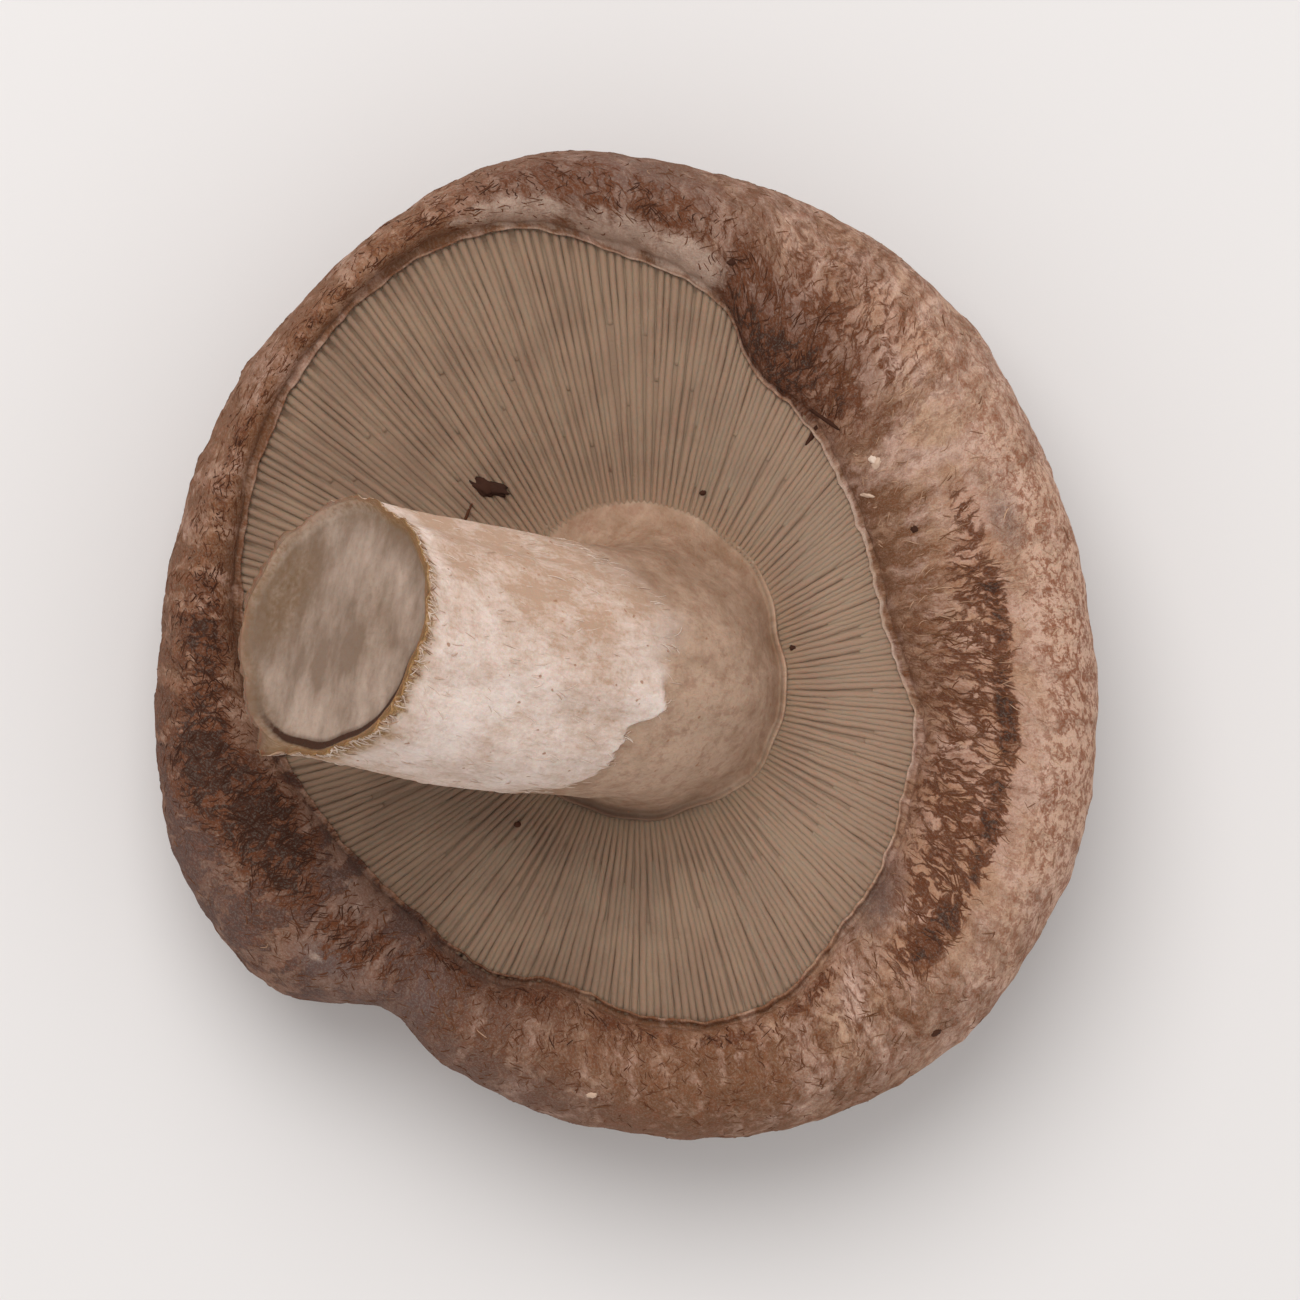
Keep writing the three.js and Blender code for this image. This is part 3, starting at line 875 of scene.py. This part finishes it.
def gill_points():
    """One point for each gill, with where it runs stored on it."""
    draw = random.Random(GILL_SEED)
    full = np.array([(i * FULL_SHARE) % 1 < FULL_SHARE for i in range(GILL_COUNT)])
    outer_azimuth = even_angles(GILL_COUNT) + [draw.uniform(-0.25, 0.25) for _ in full]
    full_before = np.concatenate([[0], np.cumsum(full)[:-1]])
    inner_azimuth = (full_before - 0.5 * ~full) * 360 / full.sum()
    inner = Section(inner_azimuth).gill_ends()[0]
    outer = Section(outer_azimuth).gill_ends()[1]
    mesh = bpy.data.meshes.new("gills")
    mesh.from_pydata((inner * MM).tolist(), [], [])
    fields = {
        "inner": inner * MM, "outer": outer * MM,
        "start": [0 if reaches else draw.uniform(0.15, 0.75) for reaches in full],
        "dip": [draw.uniform(0, 0.08) for _ in full],
        "phase": [draw.uniform(0, 100) for _ in full],
        "width": [draw.uniform(0.82, 1.1) for _ in full],
    }
    for name, values in fields.items():
        put_field(mesh, name, np.array(values))
    return mesh


def gill_tree(flesh):
    tree, points, thickness, depth, belly, wave, nick = new_tree(
        "gill blades", "Thickness", "Depth", "Belly", "Wave", "Nick")
    cube = {"Size": (1, 1, 1), "Vertices X": BLADE_POINTS, "Vertices Y": 3, "Vertices Z": 4}
    blade = tree.node("GeometryNodeMeshCube", None, cube)
    blade = stored(tree, blade, "unit", tree.node("GeometryNodeInputPosition"), "FLOAT_VECTOR")
    copies = tree.node("GeometryNodeInstanceOnPoints", None, {"Points": points, "Instance": blade})
    blades = tree.node("GeometryNodeRealizeInstances", None, {0: copies})
    axes = tree.node("ShaderNodeSeparateXYZ", None, {0: named(tree, "unit", "FLOAT_VECTOR")})
    along, side, up = (Socket(tree, axis) for axis in axes.output.node.outputs)
    along, down = along + 0.5, 0.5 - up
    start, phase = named(tree, "start"), named(tree, "phase")
    share = start + (1 - start) * along
    inner, outer = (named(tree, name, "FLOAT_VECTOR") for name in ("inner", "outer"))
    run = tree.vector("SUBTRACT", outer, inner)
    beside = tree.vector("NORMALIZE", tree.vector("CROSS_PRODUCT", run, (0, 0, 1)))

    def wobble(rate, offset, detail):
        place = tree.node("ShaderNodeCombineXYZ", None, {0: share * rate, 1: phase + offset})
        inputs = {"Vector": place, "Scale": 1.0, "Detail": detail}
        return tree.node("ShaderNodeTexNoise", {"noise_dimensions": "2D"}, inputs) - 0.5

    short = start.math("GREATER_THAN", start, 0.01)
    hidden = short * (1 - along.steps(0, 0.3))
    body = (0.76 + 0.26 * down.steps(0, 0.6)) * (0.7 + 0.3 * share.steps(0, 0.5))
    sideways = side * thickness * named(tree, "width") * body + wobble(6, 0, 2) * wave
    fall = depth * (0.11 + 0.99 * share.steps(0, 0.3))
    round_top = (0.5 - side.math("ABSOLUTE", side)) * thickness * 0.5 * up.steps(0.4, 0.5)
    dip = named(tree, "dip") * MM * share.steps(0, 0.4)
    height = belly * arch(share) - down * fall - dip - hidden * depth * 0.8
    height = height + round_top + wobble(45, 50, 1) * nick * up.steps(0.3, 0.5)
    place = tree.vector("ADD", inner, tree.scaled(run, share))
    place = tree.vector("ADD", place, tree.scaled(beside, sideways))
    place = tree.vector("ADD", place, tree.node("ShaderNodeCombineXYZ", None, {2: height}))
    blades = tree.node("GeometryNodeSetPosition", None, {"Geometry": blades, "Position": place})
    # depth, how far down the blade a point is, sets the painted shade between the gills
    blades = stored(tree, blades, "depth", down)
    blades = stored(tree, blades, "foot", 1 - share.steps(0.02, 0.3))
    flow = tree.scaled(tree.node("GeometryNodeInputPosition"), 1 / MM)
    return close_tree(tree, stored(tree, blades, "flow", flow, "FLOAT_VECTOR"), flesh)


def make_gills(flesh):
    sizes = {"Thickness": GILL_THICKNESS, "Depth": GILL_DEPTH, "Belly": GILL_BELLY,
             "Wave": GILL_WAVE, "Nick": GILL_NICK}
    sizes = {name: size * MM for name, size in sizes.items()}
    return grown(gill_points(), gill_tree(flesh), **sizes)


# ---- Fibres of the skin ------------------------------------------------------------------------

THREAD_POINTS = 6
ALONG_THREAD = np.linspace(0, 1, THREAD_POINTS)
THREAD_SINK = 0.04  # of its ends into the surface
FIBRE_COUNT, FIBRE_TRIES = 6000, 60000
FIBRE_RADIUS, FIBRE_SEED = 0.05, 5
# Drift of the fibres round the cap: circle its noise is laid out on, step a row, columns.
DRIFT_RADIUS, DRIFT_STEP, DRIFT, DRIFT_SEED = 22, 0.12, 7, 9


def thread_tree(finish):
    """Turns chains of points into tapered threads as thick as their thickness field says."""
    tree, chains, thickness = new_tree("threads", "Thickness")
    curves = tree.node("GeometryNodeMeshToCurve", None, {0: chains})
    ring = tree.node("GeometryNodeCurvePrimitiveCircle", None, {"Resolution": 3, "Radius": 1.0})
    scale = named(tree, "thickness") * thickness
    sweep = {"Curve": curves, "Profile Curve": ring, "Scale": scale, "Fill Caps": True}
    return close_tree(tree, tree.node("GeometryNodeCurveToMesh", None, sweep), finish)


def lay_threads(name, patch, rows, columns, lift, thick, tone, tree, size):
    """Threads through arrays of rows and columns of a patch, arching off it by their lift."""
    bow = arch(ALONG_THREAD)
    points, normals = patch.at(rows, columns)
    points = points + normals * (lift[:, None] * bow - THREAD_SINK)[..., None]
    first = np.arange(len(rows))[:, None] * THREAD_POINTS + np.arange(THREAD_POINTS - 1)
    mesh = bpy.data.meshes.new(name)
    edges = np.stack([first, first + 1], -1).reshape(-1, 2)
    mesh.from_pydata((points.reshape(-1, 3) * MM).tolist(), edges.tolist(), [])
    put_field(mesh, "thickness", ((0.25 + 0.75 * np.sqrt(bow)) * thick[:, None]).ravel())
    put_field(mesh, "tone", np.repeat(tone, THREAD_POINTS))
    put_field(mesh, "flow", points.reshape(-1, 3))
    return grown(mesh, tree, Thickness=size * MM)


def make_skin_fibres(cap, tree):
    """Brown fibres across the margin: thick on its dark patches, sparse elsewhere."""
    draw = np.random.default_rng(FIBRE_SEED)
    azimuth = draw.uniform(0, 360, FIBRE_TRIES)
    place = draw.uniform(0.03, 1.15, FIBRE_TRIES)
    on_margin = np.minimum(place, 1)
    dark, pale = (patches(terms, azimuth, on_margin) for terms in (UMBER_AND_LIP_SHADOW_PATCHES, PALE_AND_HIGHLIGHT_PATCHES))
    shade = np.minimum(1, around(SKIN_SHADES, azimuth))
    chance = (0.05 + 0.12 * dark + 0.08 * shade) * (1 - 0.8 * pale)
    kept = np.flatnonzero(draw.uniform(0, 1, FIBRE_TRIES) < chance)[:FIBRE_COUNT]
    azimuth, dark, shade, count = azimuth[kept], dark[kept], shade[kept], len(kept)
    row = cap.row_at(place[kept])
    long = draw.uniform(2, 8, count) * (0.6 + 0.4 * dark) * draw.choice([-1, 1], count)
    inside = (row + long > 1) & (row + long < len(cap.places) - 2)
    rows = row[:, None] + np.where(inside, long, -long)[:, None] * ALONG_THREAD
    end_place = np.interp(rows[:, -1], np.arange(len(cap.places)), cap.places)
    dark = np.minimum(dark, patches(UMBER_AND_LIP_SHADOW_PATCHES, azimuth, np.minimum(end_place, 1)))
    laid_out = polar(azimuth[:, None] + 0 * rows, DRIFT_RADIUS, rows * DRIFT_STEP)
    drift = DRIFT * rough(laid_out, 1, DRIFT_SEED)
    lean = (drift + draw.normal(0, 1.2, (count, 1))) * ALONG_THREAD
    tone = np.clip(draw.normal(0.85, 0.1, count) - dark * 0.45 - shade * 0.4, 0.12, 1)
    columns = azimuth[:, None] * SKIN_COLUMNS / 360 + lean
    lift, thick = draw.uniform(0.01, 0.06, count), draw.uniform(0.6, 1.2, count)
    return lay_threads("skin_fibres", cap.patch, rows, columns, lift, thick, tone, tree, FIBRE_RADIUS)


# ---- Stem --------------------------------------------------------------------------------------

STEM_COLUMNS = 320
STEM_ROWS = 150
STEM_LENGTH = 34
STEM_FIBRE_COUNT, STEM_FIBRE_RADIUS, STEM_FIBRE_SEED = 1500, 0.045, 8
STEM_FLOW = 9  # radius that the pattern of the stem is laid out on
# Blotches on the stem: angle round it, place along or across, half sizes, strength.
# Painted light: where the stem and its foot are lit, drawn lighter.
STEM_LIT_PATCHES = [
    (312, 0.8, 45, 0.25, 0.7), (10, 0.96, 60, 0.06, 0.5), (300, 0.6, 40, 0.16, 0.6),
    (325, 0.26, 60, 0.2, 1.3),
]
FRINGE_PATCHES = [
    (20, 1, 55, 0.03, 1.1), (320, 1, 55, 0.034, 1.2), (272, 1, 38, 0.05, 1.2),
    (120, 1, 60, 0.01, 0.4),
]
CUT_STAINS = [
    (140, 2.6, 34, 2.4, 0.9), (205, 0.5, 35, 0.9, 0.6), (60, 0.8, 40, 0.8, 0.5),
    (350, 5, 50, 1.5, 0.3),
]
CUT_LIGHTS = [(275, 2.5, 70, 2.6, 0.7), (30, 4.5, 90, 3.2, 0.55), (100, 0.3, 45, 0.5, 1)]
# Painted shade in a gap between the cut face and its brown rim.
GAP_SHADE_PATCHES = [(264, 0.7, 42, 0.25, 2), (304, 0.7, 24, 0.22, 1.6)]
# Where the torn white skin ends above the foot: angle round the stem and share of its length.
TEAR_LINE = [
    (0, 0.40), (20, 0.38), (40, 0.42), (60, 0.46), (90, 0.5), (180, 0.45),
    (270, 0.5), (290, 0.47), (312, 0.44), (328, 0.44), (340, 0.39),
]
# Half width of the change from bare foot to skin, as a share of the stem's length.
TEAR_SOFTNESS = [(0, 0.04), (30, 0.12), (90, 0.12), (180, 0.1), (270, 0.03), (300, 0.006), (345, 0.006)]
SKIN_STEP = 0.2  # thickness of the torn white skin
RIDGE_ANGLE, RIDGE_HALF_WIDTH, RIDGE_HEIGHT = 5, 60, 0.35  # pale ridge round part of the foot
SPREAD_ANGLE, SPREAD_HALF_WIDTH, SPREAD, SPREAD_END = 92, 75, 2.2, 0.2  # wider foot on one side
TUCK_ANGLE, TUCK_HALF_WIDTH, TUCK_SHADOW = 258, 60, 0.8  # foot tucked in behind the collar, and the darkness of its painted shadow
FOOT_STEP, FOOT_WAVES = 0.45, [(2, 0.15, 200), (5, 0.2, 250), (9, 0.12, 130), (17, 0.06, 20)]
# Profile under the foot: out from the stem's radius, up, share of the ridge's height taken.
FOOT_PROFILE = [
    (-1, -4, 0), (0.55, -1.3, 0), (0.5, -0.25, 0.5), (0.42, 0, 1), (0.3, 0.05, 1), (0.15, -0.1, 0),
]
# Profile of the cut: in from the stem's radius, and down from the edge of the skin.
CUT_PROFILE = [
    (0.2, 0.05), (0.4, 0.3), (0.6, 0.5), (0.8, 0.56), (1, 0.58), (1.3, 0.6), (1.7, 0.61),
    (2.3, 0.6), (3, 0.55), (4, 0.5), (5, 0.48), (6, 0.5), (7, 0.5), (8, 0.55),
]
CUT_RIM = 0.8  # width of its brown rim
# Layers as on the cap, for the side, its worn end, the cut, the torn edge and the brown fringe.
STEM_RELIEF = [
    (0.22, (3.5, 3.5, 5), 11), (0.06, (1.1, 1.1, 3), 12), (0.03, (0.6, 0.6, 1.6), 13),
    (0.03, (0.45, 0.45, 0.45), 14),
]
WORN_RELIEF = [(0.35, (0.7, 0.7, 3), 15), (0.15, (0.3, 0.3, 2), 16)]
CUT_RELIEF = [(0.1, (1.6, 1.6, 1.6), 17), (0.05, (0.5, 0.5, 0.5), 18)]
TEAR_RELIEF = [(0.02, (1.4, 1.4, 1.4), 21), (0.012, (0.6, 0.6, 0.6), 22)]
FRAYED_RELIEF = [(0.02, (0.8, 0.8, 0.8), 23), (0.02, (0.35, 0.35, 0.35), 24)]
STEM_START = 0.012  # share of its length where the rows of its side start


def foot_spread(share, angle):
    """How far the foot reaches out past the stem's radius, unevenly."""
    step = FOOT_STEP * (1 - bump(angle, TUCK_ANGLE, TUCK_HALF_WIDTH)) + waves(FOOT_WAVES, angle)
    spread = SPREAD * bump(angle, SPREAD_ANGLE, SPREAD_HALF_WIDTH) + step
    return spread * max(0, 1 - share / SPREAD_END) ** 3


# Painted shadow under the foot where it is tucked in behind the collar.
def foot_tuck_shadow(angle):
    return TUCK_SHADOW * bump(angle, TUCK_ANGLE, TUCK_HALF_WIDTH)


def add_stem_side(surface, share, angle):
    """Ring of the stem's side, from bare foot to skin and, by the cut, its brown fringe."""
    flow, ragged = (polar(angle, STEM_FLOW, up * STEM_LENGTH) for up in (share, 0))
    flake = FLAKE_LENGTH * bump(angle, FLAKE_ANGLE, FLAKE_HALF_WIDTH) * smoothstep(share, 0.95, 1)
    edge = around(TEAR_LINE, angle) + layered(ragged, TEAR_RELIEF)
    soft = around(TEAR_SOFTNESS, angle)
    skinned = smoothstep(share - edge, -soft, soft)
    relief = layered(flow, STEM_RELIEF) + SKIN_STEP * (skinned - 1)
    relief += smoothstep(share, 0.965, 1) * (0.1 + layered(flow, WORN_RELIEF))
    relief = relief * smoothstep(share, 0, 0.04) + foot_spread(share, angle)
    surface.add(
        angle, stem_ring(share, angle, stem_radius(share, angle) + flake + relief, flake), flow,
        foot=1 - skinned,
        fringe=patches(FRINGE_PATCHES, angle, share + layered(ragged, FRAYED_RELIEF)),
        light=patches(STEM_LIT_PATCHES, angle, share),
        gap=foot_tuck_shadow(angle) * (1 - smoothstep(share, 0.01, 0.04)),
    )


def make_stem(skin, cut):
    surface = RingSurface("foot", "fringe", "light", "stain", "gap")
    angles = even_angles(STEM_COLUMNS)
    surface.add([0], [STEM_ROOT], np.zeros((1, 3)))
    for out, up, ridge_share in FOOT_PROFILE:
        ridge = ridge_share * bump(angles, RIDGE_ANGLE, RIDGE_HALF_WIDTH)
        radius = stem_radius(0, angles) + out + foot_spread(0, angles)
        surface.add(
            angles, stem_ring(0, angles, radius, up + RIDGE_HEIGHT * ridge),
            polar(angles, STEM_FLOW, up), foot=1, light=ridge, gap=foot_tuck_shadow(angles),
        )
    for share in np.linspace(STEM_START, 1, STEM_ROWS):
        add_stem_side(surface, share, angles)
    for inset, sink in CUT_PROFILE:
        points = stem_ring(1, angles, stem_radius(1, angles) * (1 - inset / STEM_RADIUS), -sink)
        points += CUT_NORMAL * layered(points, CUT_RELIEF)[:, None]
        surface.add(
            angles, points, points, 1,
            fringe=patches(FRINGE_PATCHES, angles, 1) * max(0, 1 - inset / CUT_RIM),
            gap=patches(GAP_SHADE_PATCHES, angles, inset),
            stain=patches(CUT_STAINS, angles, inset),
            light=patches(CUT_LIGHTS, angles, inset),
        )
    middle = stem_ring(1, np.zeros(1), 0, -CUT_EDGE)
    surface.add([0], middle, middle, 1)
    stem = show(surface.mesh("stem"), skin, cut)
    return stem, Patch(stem.data, 1 + len(FOOT_PROFILE) * STEM_COLUMNS, STEM_ROWS, STEM_COLUMNS)


def make_stem_fibres(patch, tree):
    """Pale fibres along the stem, frayed round the cut and where the skin is torn off the foot."""
    draw = np.random.default_rng(STEM_FIBRE_SEED)
    count, last = STEM_FIBRE_COUNT, STEM_ROWS - 1
    angle, kind = draw.uniform(0, 360, count), draw.uniform(0, 1, count)
    torn = around(TEAR_LINE, angle) * last + draw.normal(0, 2, count)
    scattered = draw.uniform(0.45, 0.97, count) * last
    start = np.select([kind < 0.55, kind < 0.7], [last - 0.5, torn], scattered)
    rows = start[:, None] - draw.uniform(2, 8, count)[:, None] * ALONG_THREAD
    lean = draw.normal(0, 2.5, count)[:, None] * ALONG_THREAD ** 2
    columns = angle[:, None] * STEM_COLUMNS / 360 + lean
    brown, pale = draw.uniform(0.6, 1, count), draw.uniform(1.1, 1.3, count)
    tone = np.where(kind < 0.2, brown, pale)
    lift, thick = draw.uniform(0, 0.1, count), draw.uniform(0.6, 1.2, count)
    return lay_threads("stem_fibres", patch, rows, columns, lift, thick, tone, tree, STEM_FIBRE_RADIUS)


# ---- Crumbs ------------------------------------------------------------------------------------
# Azimuth, place, half length, half width, direction of the length and tone of each. Places run
# from the collar to the lip on the gills, and from the lip to the girth on the skin.

GILL_CRUMBS = [
    (129, 0.3, 1.4, 0.42, -20, 0.05), (130, 0.31, 0.8, 0.55, -30, 0.08), (138, 0.29, 1.1, 0.09, 66, 0.2),
    (52, 0.97, 0.8, 0.18, 60, 0.1), (70, 0.25, 0.22, 0.18, 0, 0.1), (9, 0.12, 0.22, 0.18, 0, 0.1),
    (232, 0.27, 0.25, 0.2, 0, 0.15),
]
SKIN_CRUMBS = [
    (52.5, 0.04, 1.3, 0.18, -5, 0.1), (26, 0.21, 0.25, 0.25, 0, 0.1), (77, 0.29, 0.28, 0.25, 0, 0.1),
    (309, 0.85, 0.4, 0.3, 0, 0.15), (264, 0.74, 0.35, 0.25, 0, 1.1), (40, 0.16, 0.45, 0.28, 40, 1.12),
    (41, 0.15, 0.3, 0.25, -40, 1.2), (36, 0.05, 0.6, 0.18, 20, 1.12),
]
CRUMB_HEIGHT = 0.5  # share of its half width
CRUMB_LIFT = 0.08  # from the gills' edges to its middle


def add_crumb(build, point, normal, half_length, half_width, direction):
    turn = math.radians(direction)
    up = Vector(normal).normalized()
    beside = up.cross(Vector((math.cos(turn), math.sin(turn), 0))).normalized()
    axes = Matrix((beside.cross(up) * half_length, beside * half_width, up * half_width * CRUMB_HEIGHT))
    place = Matrix.Scale(MM, 4) @ Matrix.Translation(point) @ axes.transposed().to_4x4()
    for vertex in bmesh.ops.create_icosphere(build, subdivisions=3, radius=1)["verts"]:
        lumps = noise.noise(vertex.co * 1.6 + Vector(point))
        vertex.co = place @ (vertex.co * (1 + 0.5 * lumps))


def make_crumbs(cap, finish):
    """Specks of dirt and shreds of skin that lie on the gills and the margin."""
    build = bmesh.new()
    tones = []
    for azimuth, share, *shape, tone in GILL_CRUMBS:
        inner, outer = Section(np.array([azimuth])).gill_ends()
        point = (inner + (outer - inner) * share)[0]
        point[2] += GILL_BELLY * arch(share) + CRUMB_LIFT
        add_crumb(build, point, (0, 0, 1), *shape)
        tones += [tone] * (len(build.verts) - len(tones))
    for azimuth, place, *shape, tone in SKIN_CRUMBS:
        column = np.array([azimuth * SKIN_COLUMNS / 360])
        points, normals = cap.patch.at(np.array([cap.row_at(place)]), column)
        add_crumb(build, points[0], normals[0], *shape)
        tones += [tone] * (len(build.verts) - len(tones))
    mesh = bpy.data.meshes.new("crumbs")
    build.to_mesh(mesh)
    build.free()
    mesh.shade_smooth()
    put_field(mesh, "tone", np.array(tones))
    put_field(mesh, "flow", points_and_normals(mesh)[0])
    return show(mesh, finish)


# ---- Scene -------------------------------------------------------------------------------------

CAMERA_PLACE = np.array([-61.9, 23.2, 800])
CAMERA_AIM = np.array([0.85, 0.9, 20])
CAMERA_LENS, SENSOR = 317.6, 36
SKY_STRENGTH = 0.68
# In metres and watts.
KEY_PLACE, KEY_SIZE, KEY_POWER = (-0.2, 0.45, 0.9), 0.7, 6
FLOOR_SIZE, FLOOR_COLOUR, FLOOR_ROUGHNESS = 3, colour(226, 222, 220), 0.6


def make_camera():
    data = bpy.data.cameras.new("camera")
    data.sensor_width, data.lens = SENSOR, CAMERA_LENS
    data.clip_start, data.clip_end = 0.01, 10
    camera = bpy.data.objects.new("camera", data)
    back = Vector(CAMERA_PLACE - CAMERA_AIM).normalized()
    right = Vector((0, 1, 0)).cross(back).normalized()
    turn = Matrix((right, back.cross(right), back)).transposed()
    camera.matrix_world = Matrix.Translation(CAMERA_PLACE * MM) @ turn.to_4x4()
    bpy.context.collection.objects.link(camera)
    bpy.context.scene.camera = camera


def make_light(name, place, size, power):
    data = bpy.data.lights.new(name, "AREA")
    data.shape, data.size, data.energy = "DISK", size, power
    light = bpy.data.objects.new(name, data)
    light.location = place
    light.rotation_euler = (-Vector(place)).to_track_quat("-Z", "Y").to_euler()
    bpy.context.collection.objects.link(light)


def make_studio():
    world = bpy.data.worlds.new("studio")
    world.use_nodes = True
    background = world.node_tree.nodes["Background"]
    background.inputs["Color"].default_value = (1, 1, 1, 1)
    background.inputs["Strength"].default_value = SKY_STRENGTH
    bpy.context.scene.world = world
    make_light("key", KEY_PLACE, KEY_SIZE, KEY_POWER)
    bpy.context.scene.view_settings.view_transform = "Standard"
    corners = [(x * FLOOR_SIZE, y * FLOOR_SIZE, 0) for x, y in ((-1, -1), (1, -1), (1, 1), (-1, 1))]
    mesh = bpy.data.meshes.new("floor")
    mesh.from_pydata(corners, [], [(0, 1, 2, 3)])
    pale = bpy.data.materials.new("floor")
    pale.use_nodes = True
    shader = pale.node_tree.nodes["Principled BSDF"]
    shader.inputs["Base Color"].default_value = FLOOR_COLOUR
    shader.inputs["Roughness"].default_value = FLOOR_ROUGHNESS
    show(mesh, pale)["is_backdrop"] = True


def main():
    make_camera()
    make_studio()
    skin = material("cap_skin", paint_skin, 0.3, Subsurface_Weight=0.1, Subsurface_Scale=0.002,
                    Specular_IOR_Level=0.25)
    fibre = material("fibre", paint_fibres, 0.05, Specular_IOR_Level=0.25)
    flesh = material("gill_flesh", paint_gills, 0.06, Subsurface_Weight=0.3, Subsurface_Scale=0.001)
    white = material("stem_skin", paint_stem, 0.12, Subsurface_Weight=0.2, Subsurface_Scale=0.002)
    sliced = material("cut_flesh", paint_cut, 0.08, Subsurface_Weight=0.2, Subsurface_Scale=0.002,
                      Specular_IOR_Level=0.25)
    cap = Cap(skin, flesh)
    stem, stem_patch = make_stem(white, sliced)
    body = [(cap.piece, "cap_skin"), (make_gills(flesh), "gills"), (stem, "stem_flesh")]
    threads = thread_tree(fibre)
    extras = [
        (make_skin_fibres(cap, threads), "cap_skin"),
        (make_stem_fibres(stem_patch, threads), "stem_flesh"),
        (make_crumbs(cap, fibre), "cap_skin"),
    ]
    for piece, slot in body + extras:
        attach(piece, "root")
    for piece, slot in body:
        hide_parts("mushroom")


main()
for box in (cad_box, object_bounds()):
    json.dumps([list(corner) for corner in box]) + "\n"
